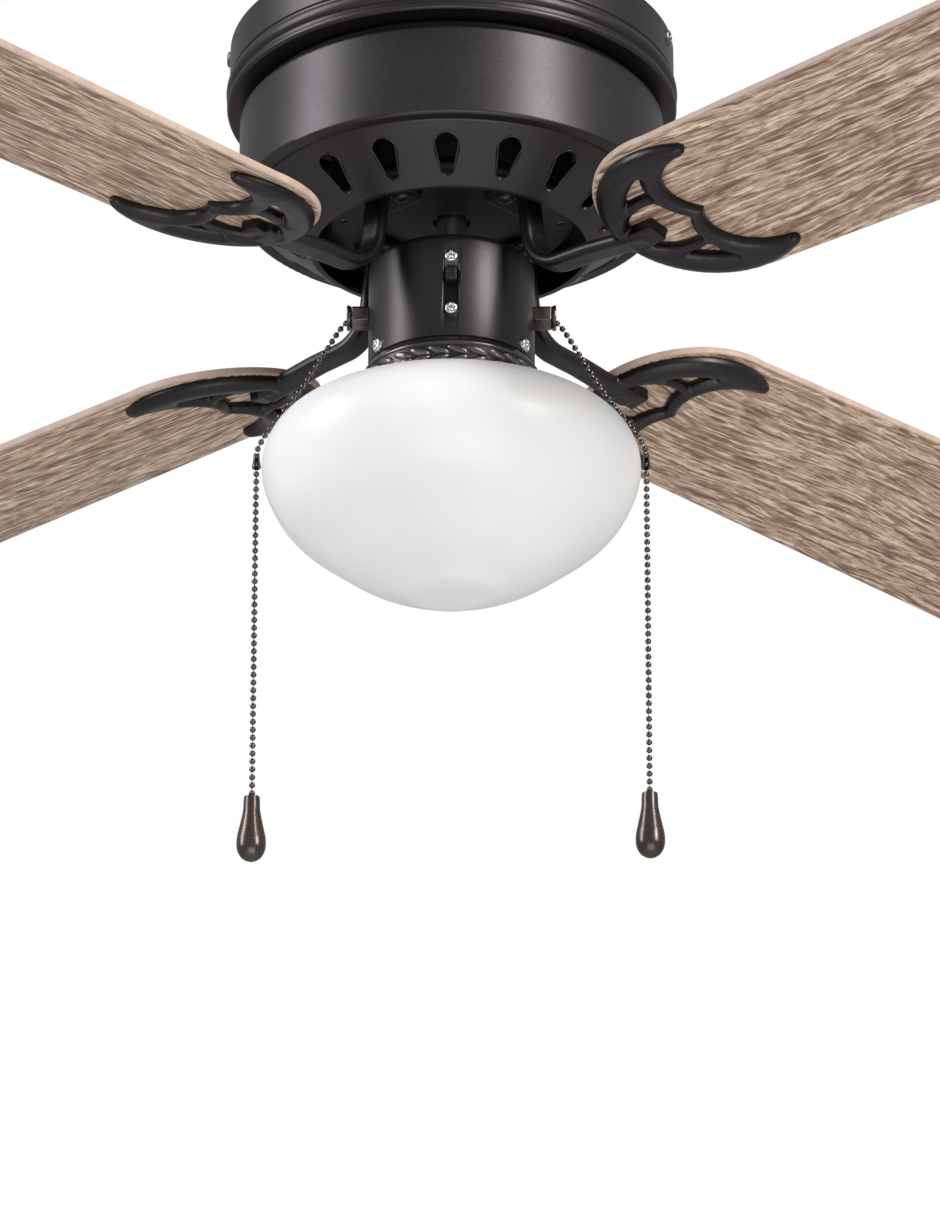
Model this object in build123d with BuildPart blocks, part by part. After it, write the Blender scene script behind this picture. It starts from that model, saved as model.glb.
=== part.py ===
"""Flush-mount ceiling fan with a light kit: four blades, two pull chains, 1067 mm span.

Millimetres, +Z up. The origin is the centre of the ceiling plate's top face, on the fan's
axis, so everything hangs below z = 0. The reverse switch is on the -Y side and the two pull
chains leave the switch housing along -X (fan speed) and +X (light).
"""
from build123d import *
import math
import os

os.makedirs("parts", exist_ok=True)

# ---------------------------------------------------------------- driving dimensions
SHEET = 1.2                 # pressed sheet of canopy, housing, switch housing and fitter
GAP = 0.1                   # clearance between pieces that are screwed together

CANOPY_R = 118.8            # canopy wall
CANOPY_BEAD_R = 120.5       # rolled bead at the canopy's lower edge
CANOPY_H = 36.5
RECESS_R = 108.0            # shadow groove between canopy and motor housing
DRUM_R = 113.0              # motor housing
DRUM_TOP_Z = -41.0
DRUM_BOTTOM_Z = -93.3
DRUM_LIP_R = 106.4
VENT_OUTER_R = 105.9        # vented cone under the motor housing
VENT_INNER_R = 72.0
VENT_BOTTOM_Z = -117.0
VENT_COUNT = 18

PLATE_R = 116.4             # steel plate on the outlet box
PLATE_T = 2.0
PLATE_RIM_Z = -16.0
BOX_SCREW_PITCH = 88.9      # outlet box screws, 3.5 inches apart
SLOT_R = 2.6
SLOT_LENGTH = 14.0
WIRE_HOLE_R = 11.0
WIRE_HOLE_Y = 50.0          # behind the motor hanger, over the wiring space

SHAFT_R = 8.0
SHAFT_BORE_R = 4.6
SHAFT_BOTTOM_Z = -134.0
ROTOR_R = 65.0
ROTOR_TOP_Z = -42.0
ROTOR_BOTTOM_Z = -100.0
ROTOR_COVER_T = 6.0
STATOR_R = 49.4
BEARING_R = 17.5
BEARING_T = 9.0
RUN_GAP = 0.05              # running clearance at the bearings

SWITCH_R = 43.7             # switch housing
SWITCH_TOP_Z = -126.5
SWITCH_BOTTOM_Z = -177.0
SWITCH_Z = -156.0           # height of the reverse switch and the chain outlets
OUTLET_TIP_R = 55.0

FITTER_R = 46.8
FITTER_FLARE_Z = -186.4
FITTER_BOTTOM_Z = -204.0
SET_SCREW_Z = -182.0
GLASS_R = 98.5
GLASS_WIDE_Z = -241.0
GLASS_BOTTOM_Z = -315.0
GLASS_T = 3.0
GLASS_NECK_R = 39.8

SPAN_R = 533.4              # 42 inch sweep
BLADE_COUNT = 4
FIRST_BLADE = 46.4          # angle of blade 1 at rest, degrees
BLADE_Z = -149.05           # blade plane on the blade's centre line
BLADE_PITCH = -11.1
BLADE_T = 4.2
IRON_T = 7.0
IRON_PAD_T = 5.0
ARM_W, ARM_T = 15.0, 7.0
IRON_CENTRE = 176.0         # centre of the crescent's outer arc
IRON_R = 54.0

CHAIN_D = 3.2               # number 6 ball chain
CHAIN_X = 101.3             # the chains hang just clear of the glass
FOB_X = 100.8
FAN_FOB_TOP_Z = -424.0
LIGHT_FOB_TOP_Z = -422.0
FOB_LENGTH = 35.0
FOB_R = 7.5
CONNECTOR_TOP_Z = -233.6
CONNECTOR_LENGTH = 9.4
CONNECTOR_R = 2.4

# Upper run of a pull chain, from the outlet's bell over the glass to the connector:
# distance from the axis and height.
UPPER_CHAIN = [
    (50.5, -156.0),
    (55.6, -158.4),
    (59.2, -163.5),
    (63.8, -171.4),
    (70.4, -183.5),
    (77.4, -195.6),
    (85.0, -206.9),
    (92.6, -217.2),
    (98.2, -224.8),
    (101.3, -232.8),
]


# ---------------------------------------------------------------- shared helpers
def save(builder, name):
    """Label a finished piece and write its STEP file."""
    builder.part.label = name
    export_step(builder.part, f"parts/{name}.step")


def polar(radius, angle, z=0.0):
    """A point at a radius and an angle in degrees about the fan's axis."""
    return (radius * math.cos(math.radians(angle)), radius * math.sin(math.radians(angle)), z)


def radial_plane(radius, angle, z):
    """A plane that faces outwards at a point on a cylinder about the fan's axis."""
    outward = Vector(*polar(1.0, angle))
    return Plane(origin=polar(radius, angle, z), x_dir=(-outward.Y, outward.X, 0), z_dir=outward)


def pan_screws(places, head_r, head_h, shank_r, shank_length):
    """Pan-head screws on planes: each head stands on its plane and its shank runs the other way."""
    with BuildPart() as screws:
        for place in places:
            with BuildSketch(place):
                Circle(head_r)
            extrude(amount=head_h, taper=12)
            with BuildSketch(place):
                Circle(shank_r)
            extrude(amount=-shank_length)
            with BuildSketch(place.offset(head_h)):
                Rectangle(head_r * 1.2, head_r * 0.22)
                Rectangle(head_r * 0.22, head_r * 1.2)
            extrude(amount=-head_h * 0.45, mode=Mode.SUBTRACT)
    return screws


def down_plane(radius, angle, z):
    """A plane that faces down."""
    return Plane(origin=polar(radius, angle, z), x_dir=(1, 0, 0), z_dir=(0, 0, -1))


def chain_radii(points):
    """Corner radii for a limp chain: 0.45 of the shorter run over the tangent of half the turn."""
    radii = []
    for before, here, after in zip(points, points[1:], points[2:]):
        run_in = Vector(*here) - Vector(*before)
        run_out = Vector(*after) - Vector(*here)
        turn = math.radians(run_in.get_angle(run_out))
        radii.append(0.45 * min(run_in.length, run_out.length) / math.tan(turn / 2))
    return radii


# ---------------------------------------------------------------- ceiling plate and hanger
CANOPY_SCREW_ANGLES = (84, 182.7, 345.5)
CANOPY_SCREW_Z = -5.4
HANGER_FLANGE_R = 32.0
HANGER_TUBE_R = 15.0
HANGER_BOTTOM_Z = -30.0
HANGER_SCREW_R = 24.0
HANGER_FLANGE_T = 3.0
SCREW_HOLE_R = 2.1
HANGER_PIN_Z = -17.0
PIN_R = 3.0

with BuildPart() as ceiling_plate:
    with BuildSketch(Plane.XY.offset(-PLATE_T)):
        Circle(PLATE_R)
    extrude(amount=PLATE_T)
    with BuildSketch(Plane.XY.offset(-PLATE_T)):
        Circle(PLATE_R)
        Circle(PLATE_R - PLATE_T, mode=Mode.SUBTRACT)
    extrude(amount=PLATE_T + PLATE_RIM_Z)
    with BuildSketch(Plane.XY.offset(-PLATE_T)):
        with Locations((0, WIRE_HOLE_Y)):
            Circle(WIRE_HOLE_R)
        with Locations((-BOX_SCREW_PITCH / 2, 0), (BOX_SCREW_PITCH / 2, 0)):
            SlotOverall(SLOT_LENGTH, 2 * SLOT_R)
        with PolarLocations(HANGER_SCREW_R, 4, start_angle=45):
            Circle(SCREW_HOLE_R)
    extrude(amount=PLATE_T, mode=Mode.SUBTRACT)
    for angle in CANOPY_SCREW_ANGLES:
        with BuildSketch(radial_plane(PLATE_R - 2 * PLATE_T, angle, CANOPY_SCREW_Z)):
            Circle(SCREW_HOLE_R)
        extrude(amount=3 * PLATE_T, mode=Mode.SUBTRACT)
save(ceiling_plate, "ceiling_plate")

with BuildPart() as motor_hanger:
    with BuildSketch(Plane.XY.offset(-PLATE_T)):
        Circle(HANGER_FLANGE_R)
    extrude(amount=-HANGER_FLANGE_T)
    with BuildSketch(Plane.XY.offset(-PLATE_T - HANGER_FLANGE_T)):
        Circle(HANGER_TUBE_R)
    extrude(amount=HANGER_BOTTOM_Z + PLATE_T + HANGER_FLANGE_T)
    fillet(motor_hanger.edges().filter_by(GeomType.CIRCLE).group_by(Axis.Z)[1], 2.5)
    with BuildSketch(Plane.XY.offset(-PLATE_T)):
        Circle(SHAFT_R + GAP)
        with PolarLocations(HANGER_SCREW_R, 4, start_angle=45):
            Circle(SCREW_HOLE_R)
    extrude(amount=HANGER_BOTTOM_Z, mode=Mode.SUBTRACT)
    with BuildSketch(Plane.YZ.offset(-HANGER_TUBE_R - 1)):
        with Locations((0, HANGER_PIN_Z)):
            Circle(PIN_R + GAP)
    extrude(amount=2 * HANGER_TUBE_R + 2, mode=Mode.SUBTRACT)
save(motor_hanger, "motor_hanger")

hanger_screws = pan_screws(
    [down_plane(HANGER_SCREW_R, 45 + 90 * i, -PLATE_T - HANGER_FLANGE_T) for i in range(4)],
    4.2, 2.6, 2.0, 4.8)
save(hanger_screws, "hanger_screws")

with BuildPart() as motor_shaft:
    with BuildSketch(Plane.XY.offset(-6.0)):
        Circle(SHAFT_R)
        Circle(SHAFT_BORE_R, mode=Mode.SUBTRACT)
    extrude(amount=SHAFT_BOTTOM_Z + 6.0)
    with BuildSketch(Plane.YZ.offset(-SHAFT_R - 1)):
        with Locations((0, HANGER_PIN_Z)):
            Circle(PIN_R + GAP)
    extrude(amount=2 * SHAFT_R + 2, mode=Mode.SUBTRACT)
save(motor_shaft, "motor_shaft")

with BuildPart() as shaft_pin:
    with BuildSketch(Plane.YZ.offset(-HANGER_TUBE_R - 3)):
        with Locations((0, HANGER_PIN_Z)):
            Circle(PIN_R)
    extrude(amount=2 * HANGER_TUBE_R + 6)
    chamfer(shaft_pin.edges().filter_by(GeomType.CIRCLE), 0.6)
save(shaft_pin, "shaft_pin")

# ---------------------------------------------------------------- canopy and motor housing
FLANGE_INNER_R = 95.0
FLANGE_SCREW_R = 101.0
GROOVE_R = 118.0
CANOPY_GROOVE_Z = -22.0     # upper groove, over the first bead
CANOPY_LIP_TOP_Z = -32.2    # lower groove, over the lip bead

with BuildPart() as canopy:
    with BuildSketch(Plane.XZ):
        with BuildLine():
            Polyline((CANOPY_R, 0), (CANOPY_R, CANOPY_GROOVE_Z + 1.4), (GROOVE_R, CANOPY_GROOVE_Z + 0.6),
                     (GROOVE_R, CANOPY_GROOVE_Z - 0.6))
            ThreePointArc(
                (GROOVE_R, CANOPY_GROOVE_Z - 0.6), (CANOPY_BEAD_R, -26.0), (GROOVE_R + 0.4, -30.2))
            Line((GROOVE_R + 0.4, -30.2), (GROOVE_R, CANOPY_LIP_TOP_Z))
            ThreePointArc(
                (GROOVE_R, CANOPY_LIP_TOP_Z), (CANOPY_BEAD_R - 0.4, -34.4), (GROOVE_R + 0.6, -CANOPY_H))
            Polyline(
                (GROOVE_R + 0.6, -CANOPY_H), (FLANGE_INNER_R, -CANOPY_H), (FLANGE_INNER_R, SHEET - CANOPY_H),
                (GROOVE_R - 2 * SHEET, SHEET - CANOPY_H), (GROOVE_R - SHEET, 2 * SHEET - CANOPY_H),
                (GROOVE_R - SHEET, CANOPY_GROOVE_Z), (CANOPY_R - SHEET, CANOPY_GROOVE_Z + 2.0),
                (CANOPY_R - SHEET, 0), (CANOPY_R, 0))
        make_face()
    revolve(axis=Axis.Z)
    for angle in CANOPY_SCREW_ANGLES:
        with BuildSketch(radial_plane(CANOPY_R - 3, angle, CANOPY_SCREW_Z)):
            Circle(SCREW_HOLE_R)
        extrude(amount=5, mode=Mode.SUBTRACT)
    with BuildSketch(Plane.XY.offset(-CANOPY_H)):
        with PolarLocations(FLANGE_SCREW_R, 4):
            Circle(SCREW_HOLE_R)
    extrude(amount=2 * SHEET, mode=Mode.SUBTRACT)
save(canopy, "canopy")

canopy_screws = pan_screws(
    [radial_plane(CANOPY_R + GAP, angle, CANOPY_SCREW_Z) for angle in CANOPY_SCREW_ANGLES],
    4.4, 1.6, 2.0, 6.4)
save(canopy_screws, "canopy_screws")

NECK_TOP_Z = -CANOPY_H - GAP
with BuildPart() as motor_housing:
    with BuildSketch(Plane.XZ):
        with BuildLine():
            outer = FilletPolyline(
                (FLANGE_INNER_R, NECK_TOP_Z), (RECESS_R, NECK_TOP_Z), (RECESS_R, DRUM_TOP_Z),
                (DRUM_R, DRUM_TOP_Z), (DRUM_R, DRUM_BOTTOM_Z), (DRUM_LIP_R, DRUM_BOTTOM_Z),
                radius=(1.8, 0.4, 4.2, 2.2))
            inner = FilletPolyline(
                (FLANGE_INNER_R, NECK_TOP_Z - SHEET), (RECESS_R - SHEET, NECK_TOP_Z - SHEET),
                (RECESS_R - SHEET, DRUM_TOP_Z - SHEET), (DRUM_R - SHEET, DRUM_TOP_Z - SHEET),
                (DRUM_R - SHEET, DRUM_BOTTOM_Z + SHEET), (DRUM_LIP_R, DRUM_BOTTOM_Z + SHEET),
                radius=(0.6, 1.6, 3.0, 1.0))
            Line(outer @ 0, inner @ 0)
            Line(outer @ 1, inner @ 1)
        make_face()
    revolve(axis=Axis.Z)
    with BuildSketch(Plane.XY.offset(NECK_TOP_Z - 2 * SHEET)):
        with PolarLocations(FLANGE_SCREW_R, 4):
            Circle(SCREW_HOLE_R)
    extrude(amount=3 * SHEET, mode=Mode.SUBTRACT)
save(motor_housing, "motor_housing")

with BuildPart() as housing_screws:
    for angle in (0, 90, 180, 270):
        with BuildSketch(Plane(origin=polar(FLANGE_SCREW_R, angle, SHEET - CANOPY_H))):
            Circle(3.8)
        extrude(amount=2.4)
        with BuildSketch(Plane(origin=polar(FLANGE_SCREW_R, angle, NECK_TOP_Z - SHEET - 4.0))):
            Circle(2.0)
        extrude(amount=4.0 + 2 * SHEET + GAP)
        with BuildSketch(Plane(origin=polar(FLANGE_SCREW_R, angle, NECK_TOP_Z - SHEET - 3.2))):
            RegularPolygon(4.0, 6)
        extrude(amount=3.2)
save(housing_screws, "housing_screws")

VENT_WIDE_AT, VENT_WIDE_R = 93.2, 6.8
VENT_NARROW_AT, VENT_NARROW_R = 83.6, 4.0
VENT_START = 268.6
with BuildPart() as vent_ring:
    with BuildSketch(Plane.XZ):
        with BuildLine():
            outline = FilletPolyline(
                (VENT_OUTER_R - SHEET, DRUM_BOTTOM_Z + 8), (VENT_OUTER_R - SHEET, DRUM_BOTTOM_Z + 0.4),
                (VENT_INNER_R + 2.5, VENT_BOTTOM_Z + 1.6), (VENT_INNER_R, VENT_BOTTOM_Z + 1.6),
                radius=(0.8, 1.5))
            offset(outline, amount=SHEET, side=Side.LEFT)
        make_face()
    revolve(axis=Axis.Z)
    for i in range(VENT_COUNT):
        angle = VENT_START + 360 / VENT_COUNT * i
        with BuildSketch(Plane(origin=(0, 0, VENT_BOTTOM_Z - 2), x_dir=polar(1, angle), z_dir=(0, 0, 1))):
            with Locations((VENT_WIDE_AT, 0)):
                Circle(VENT_WIDE_R)
            with Locations((VENT_NARROW_AT, 0)):
                Circle(VENT_NARROW_R)
            make_hull()
        extrude(amount=24, mode=Mode.SUBTRACT)
save(vent_ring, "vent_ring")

# ---------------------------------------------------------------- motor: stator, bearings, rotor
STATOR_TOP_Z, STATOR_BOTTOM_Z = -60.0, -82.0
SLOT_COUNT = 18
ROTOR_RING_R = 50.0
UPPER_BEARING_Z = ROTOR_TOP_Z - 4.0
LOWER_BEARING_Z = ROTOR_BOTTOM_Z + 3.0 + BEARING_T
ROTOR_SCREW_R = 57.5
ROTOR_SCREW_ANGLE = 1.4     # turned so that no screw meets an iron's pad screw

with BuildPart() as stator_core:
    with BuildSketch(Plane.XY.offset(STATOR_BOTTOM_Z)):
        Circle(STATOR_R)
        Circle(SHAFT_R + GAP, mode=Mode.SUBTRACT)
        with PolarLocations(STATOR_R - 9, SLOT_COUNT):
            SlotOverall(14, 5, mode=Mode.SUBTRACT)
        with PolarLocations(STATOR_R, SLOT_COUNT):
            Rectangle(6, 2, mode=Mode.SUBTRACT)
    extrude(amount=STATOR_TOP_Z - STATOR_BOTTOM_Z)
save(stator_core, "stator_core")

with BuildPart() as stator_windings:
    for height, level in ((STATOR_TOP_Z + 5.0, 1), (STATOR_BOTTOM_Z - 5.0, -1)):
        with BuildSketch(Plane.XZ):
            with Locations((STATOR_R - 10, height)):
                RectangleRounded(13, 9.6, 4)
        revolve(axis=Axis.Z)
    with BuildSketch(Plane.XY.offset(STATOR_BOTTOM_Z - 2)):
        with PolarLocations(STATOR_R - 9, SLOT_COUNT):
            SlotOverall(12, 4)
    extrude(amount=STATOR_TOP_Z - STATOR_BOTTOM_Z + 4)
save(stator_windings, "stator_windings")


def ball_bearing(top_z):
    """A shielded ball bearing on the shaft, as one closed ring."""
    with BuildPart() as bearing:
        with BuildSketch(Plane.XY.offset(top_z - BEARING_T)):
            Circle(BEARING_R)
            Circle(SHAFT_R + GAP / 2, mode=Mode.SUBTRACT)
        extrude(amount=BEARING_T)
        for face_z, way in ((top_z, -1), (top_z - BEARING_T, 1)):
            with BuildSketch(Plane.XY.offset(face_z)):
                Circle(BEARING_R - 3)
                Circle(SHAFT_R + 3, mode=Mode.SUBTRACT)
            extrude(amount=0.8 * way, mode=Mode.SUBTRACT)
    return bearing


upper_bearing = ball_bearing(UPPER_BEARING_Z)
save(upper_bearing, "upper_bearing")
lower_bearing = ball_bearing(LOWER_BEARING_Z)
save(lower_bearing, "lower_bearing")


def rotor_cover(outer_z, way, seat_z):
    """Cast end cover of the rotor with ribs and a seat around its bearing; way points inwards."""
    with BuildPart() as cover:
        with BuildSketch(Plane.XY.offset(outer_z)):
            Circle(ROTOR_R)
        extrude(amount=ROTOR_COVER_T * way)
        with BuildSketch(Plane.XY.offset(outer_z)):
            Circle(BEARING_R + 4)
        extrude(amount=(abs(seat_z - outer_z) + BEARING_T) * way)
        rims = cover.edges().filter_by(GeomType.CIRCLE).group_by(SortBy.RADIUS)[-1].sort_by(Axis.Z)
        outer_rim = rims[-1] if way < 0 else rims[0]
        fillet(outer_rim, 3.0)
        with BuildSketch(Plane.XY.offset(outer_z)):
            Circle(SHAFT_R + 2)
        extrude(amount=50 * way, mode=Mode.SUBTRACT)
        with BuildSketch(Plane.XY.offset(seat_z)):
            Circle(BEARING_R + RUN_GAP)
        extrude(amount=50 * way, mode=Mode.SUBTRACT)
        with BuildSketch(Plane.XY.offset(outer_z)):
            with PolarLocations(ROTOR_SCREW_R, 4, start_angle=ROTOR_SCREW_ANGLE):
                Circle(SCREW_HOLE_R)
        extrude(amount=ROTOR_COVER_T * way, mode=Mode.SUBTRACT)
    return cover


rotor_cover_top = rotor_cover(ROTOR_TOP_Z, -1, UPPER_BEARING_Z + RUN_GAP)
save(rotor_cover_top, "rotor_cover_top")

PAD_SCREW_R, PAD_SCREW_APART = 47.0, 17.0
PAD_HOLE_R = 2.6
BLADE_ANGLES = [FIRST_BLADE + 360 / BLADE_COUNT * i for i in range(BLADE_COUNT)]
with BuildPart() as rotor_cover_bottom:
    add(rotor_cover(ROTOR_BOTTOM_Z, 1, LOWER_BEARING_Z - BEARING_T - RUN_GAP).part)
    for angle in BLADE_ANGLES:
        with BuildSketch(Plane(origin=(0, 0, ROTOR_BOTTOM_Z), x_dir=polar(1, angle), z_dir=(0, 0, 1))):
            with Locations((PAD_SCREW_R, -PAD_SCREW_APART / 2), (PAD_SCREW_R, PAD_SCREW_APART / 2)):
                Circle(PAD_HOLE_R)
        extrude(amount=ROTOR_COVER_T - 1, mode=Mode.SUBTRACT)
save(rotor_cover_bottom, "rotor_cover_bottom")

RING_TOP_Z = ROTOR_TOP_Z - ROTOR_COVER_T
RING_BOTTOM_Z = ROTOR_BOTTOM_Z + ROTOR_COVER_T
with BuildPart() as rotor_ring:
    with BuildSketch(Plane.XY.offset(RING_BOTTOM_Z)):
        Circle(ROTOR_R - 1)
        Circle(ROTOR_RING_R, mode=Mode.SUBTRACT)
        with PolarLocations(ROTOR_SCREW_R, 4, start_angle=ROTOR_SCREW_ANGLE):
            Circle(SCREW_HOLE_R, mode=Mode.SUBTRACT)
    extrude(amount=RING_TOP_Z - RING_BOTTOM_Z)
save(rotor_ring, "rotor_ring")

rotor_screws = pan_screws(
    [Plane(origin=polar(ROTOR_SCREW_R, ROTOR_SCREW_ANGLE + 90 * i, ROTOR_TOP_Z)) for i in range(4)],
    4.0, 2.4, 2.0, ROTOR_TOP_Z - ROTOR_BOTTOM_Z - 1)
save(rotor_screws, "rotor_screws")

# ---------------------------------------------------------------- blades and their irons
BLADE_PLANE = Plane(
    origin=(0, 0, BLADE_Z), x_dir=(1, 0, 0),
    z_dir=(0, -math.sin(math.radians(BLADE_PITCH)), math.cos(math.radians(BLADE_PITCH))))
UNDERSIDE = BLADE_PLANE.offset(-BLADE_T / 2)
ROOT_X = 120.5              # the round root end hides behind the crescent
TIP_HALF = 67.6
TIP_CORNER_R = 24.0
BLADE_SCREWS = [(141.0, 0.0), (183.0, 42.5), (183.0, -42.5)]

with BuildPart() as blade:
    with BuildSketch(UNDERSIDE):
        with BuildLine():
            ThreePointArc((185, -58.4), (ROOT_X, 0), (185, 58.4))
            Line((185, 58.4), (382, 63.7))
            Line((382, 63.7), (SPAN_R - 3, TIP_HALF))
            ThreePointArc((SPAN_R - 3, TIP_HALF), (SPAN_R, 0), (SPAN_R - 3, -TIP_HALF))
            Line((SPAN_R - 3, -TIP_HALF), (382, -63.7))
            Line((382, -63.7), (185, -58.4))
        make_face()
        with Locations(*BLADE_SCREWS):
            Circle(2.7, mode=Mode.SUBTRACT)
    extrude(amount=BLADE_T)
    tips = blade.edges().filter_by(lambda e: e.length < BLADE_T + 0.1).group_by(Axis.X)[-1]
    fillet(tips, TIP_CORNER_R)

with BuildPart() as blade_iron:
    with BuildSketch(UNDERSIDE):
        with BuildLine():
            ThreePointArc((177, 0), (170.3, 16), (180, 34.5))
            ThreePointArc((180, 34.5), (189, 39.6), (198.5, 41.6))
            ThreePointArc((198.5, 41.6), (202.4, 45.6), (199.5, 48.62))
            ThreePointArc((199.5, 48.62), (137.8, 38.2), (IRON_CENTRE - IRON_R, 0))
            mirror(about=Plane.XZ)
        make_face()
        for side in (1, -1):
            with BuildSketch(mode=Mode.PRIVATE) as window:
                with BuildLine():
                    ThreePointArc((145, 23.5 * side), (155.5, 32.6 * side), (167, 38.4 * side))
                    ThreePointArc((167, 38.4 * side), (162.6, 31.4 * side), (161.2, 23.6 * side))
                    ThreePointArc((161.2, 23.6 * side), (152.6, 24.6 * side), (145, 23.5 * side))
                make_face()
                fillet(window.vertices(), 0.8)
            add(window.sketch, mode=Mode.SUBTRACT)
        with BuildSketch(mode=Mode.PRIVATE) as heart:
            with BuildLine():
                Line((132.5, 6.6), (147.5, 6.6))
                Line((147.5, 6.6), (147.5, -6.6))
                Line((147.5, -6.6), (132.5, -6.6))
                ThreePointArc((132.5, -6.6), (143, -15.8), (160.6, -17.2))
                ThreePointArc((160.6, -17.2), (162.4, -8.5), (167.6, 0))
                ThreePointArc((167.6, 0), (162.4, 8.5), (160.6, 17.2))
                ThreePointArc((160.6, 17.2), (143, 15.8), (132.5, 6.6))
            make_face()
            fillet(heart.vertices().group_by(Axis.X)[0], 0.8)
        add(heart.sketch, mode=Mode.SUBTRACT)
    extrude(amount=-IRON_T)
    with BuildLine(Plane.XZ) as arm_path:
        FilletPolyline(
            (52, -103.2), (55.5, -103.2), (61.5, -149.0), (100, -150.8), (134, -154.9), radius=(3, 30, 40))
    with BuildSketch(Plane(origin=arm_path.line @ 0, x_dir=(0, 1, 0), z_dir=arm_path.line % 0)):
        RectangleRounded(ARM_W, ARM_T, 2.8)
    sweep(path=arm_path.line, transition=Transition.ROUND)
    with BuildSketch(Plane.XY.offset(ROTOR_BOTTOM_Z)):
        with Locations((48, 0)):
            RectangleRounded(24, 32, 5)
        with Locations((PAD_SCREW_R, -PAD_SCREW_APART / 2), (PAD_SCREW_R, PAD_SCREW_APART / 2)):
            Circle(PAD_HOLE_R, mode=Mode.SUBTRACT)
    extrude(amount=-IRON_PAD_T)
    with BuildSketch(UNDERSIDE):
        with Locations((160, 0)):
            Rectangle(96, 130)
    extrude(amount=20, mode=Mode.SUBTRACT)
    with BuildSketch(UNDERSIDE):
        with Locations(*BLADE_SCREWS):
            Circle(2.5)
    extrude(amount=-IRON_T + 0.8, mode=Mode.SUBTRACT)

for number, angle in enumerate(BLADE_ANGLES, 1):
    turned = Location((0, 0, 0), (0, 0, angle))
    with BuildPart() as placed_blade:
        with Locations(turned):
            add(blade.part)
    save(placed_blade, f"blade_{number}")
    with BuildPart() as placed_iron:
        with Locations(turned):
            add(blade_iron.part)
    save(placed_iron, f"blade_iron_{number}")

TURNS = [Location((0, 0, 0), (0, 0, angle)) for angle in BLADE_ANGLES]
PAD_BOTTOM_Z = ROTOR_BOTTOM_Z - IRON_PAD_T
with BuildPart() as iron_screws:
    with Locations(*TURNS):
        add(pan_screws(
            [Plane(origin=(PAD_SCREW_R, side * PAD_SCREW_APART / 2, PAD_BOTTOM_Z), z_dir=(0, 0, -1))
             for side in (1, -1)], 4.6, 2.6, 2.4, IRON_PAD_T + ROTOR_COVER_T - 1.4).part)
save(iron_screws, "iron_screws")

BLADE_TOP = BLADE_PLANE.offset(BLADE_T / 2)
with BuildPart() as blade_screws:
    with Locations(*TURNS):
        add(pan_screws(
            [Plane(origin=BLADE_TOP.from_local_coords((s, t, 0)), x_dir=(1, 0, 0), z_dir=BLADE_PLANE.z_dir)
             for s, t in BLADE_SCREWS], 5.2, 2.4, 2.3, BLADE_T + IRON_T - 1.2).part)
save(blade_screws, "blade_screws")

# ---------------------------------------------------------------- switch housing and what it holds
SWITCH_INNER_R = SWITCH_R - SHEET
REVERSE_SLOT_W, REVERSE_SLOT_H = 8.0, 17.0
REVERSE_SCREW_Z = (-141.0, -171.0)
REVERSE_KNOB_Z = -151.8
REVERSE_TRAVEL = 7.0
OUTLET_STEM_R = 4.8

with BuildPart() as stem_nuts:
    for top_z in (SWITCH_TOP_Z + 4.6, SWITCH_TOP_Z - SHEET - GAP):
        with BuildSketch(Plane.XY.offset(top_z)):
            RegularPolygon(13, 6)
            Circle(SHAFT_R + GAP, mode=Mode.SUBTRACT)
        extrude(amount=-4.5)
save(stem_nuts, "stem_nuts")

with BuildPart() as switch_housing:
    with BuildSketch(Plane.XZ):
        with BuildLine():
            outline = FilletPolyline(
                (SHAFT_R + 0.6, SWITCH_TOP_Z - SHEET), (SWITCH_INNER_R, SWITCH_TOP_Z - SHEET),
                (SWITCH_INNER_R, SWITCH_BOTTOM_Z), radius=3.8)
            offset(outline, amount=SHEET, side=Side.LEFT)
        make_face()
    revolve(axis=Axis.Z)
    with BuildSketch(Plane.XZ.offset(SWITCH_R - 6)):
        with Locations((0, SWITCH_Z)):
            Rectangle(REVERSE_SLOT_W, REVERSE_SLOT_H)
        with Locations((0, REVERSE_SCREW_Z[0]), (0, REVERSE_SCREW_Z[1])):
            Circle(2.0)
    extrude(amount=10, mode=Mode.SUBTRACT)
    for way in (1, -1):
        with BuildSketch(Plane.YZ.offset(way * (SWITCH_R - 4))):
            with Locations((0, SWITCH_Z)):
                Circle(OUTLET_STEM_R + GAP)
        extrude(amount=8 * way, mode=Mode.SUBTRACT)
save(switch_housing, "switch_housing")

BODY_FRONT = 41.2
with BuildPart() as reverse_switch:
    with BuildSketch(Plane.XZ.offset(BODY_FRONT)):
        with Locations((0, SWITCH_Z)):
            Rectangle(15, 36.6)
    extrude(amount=-15)
    with BuildSketch(Plane.XZ.offset(BODY_FRONT)):
        with Locations((0, SWITCH_Z)):
            Rectangle(REVERSE_SLOT_W - 0.6, REVERSE_SLOT_H + 0.6)
    extrude(amount=-5, mode=Mode.SUBTRACT)
    with BuildSketch(Plane.XZ.offset(BODY_FRONT)):
        with Locations((0, REVERSE_SCREW_Z[0]), (0, REVERSE_SCREW_Z[1])):
            Circle(1.9)
    extrude(amount=-7, mode=Mode.SUBTRACT)
    for level in (-164, -156, -148):
        with BuildSketch(Plane.XZ.offset(BODY_FRONT - 15)):
            with Locations((0, level)):
                Rectangle(5, 0.8)
        extrude(amount=-6)
save(reverse_switch, "reverse_switch")

reverse_screws = pan_screws(
    [radial_plane(SWITCH_R + GAP, 270, z) for z in REVERSE_SCREW_Z], 3.5, 1.7, 1.8, 8.4)
save(reverse_screws, "reverse_screws")

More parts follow.
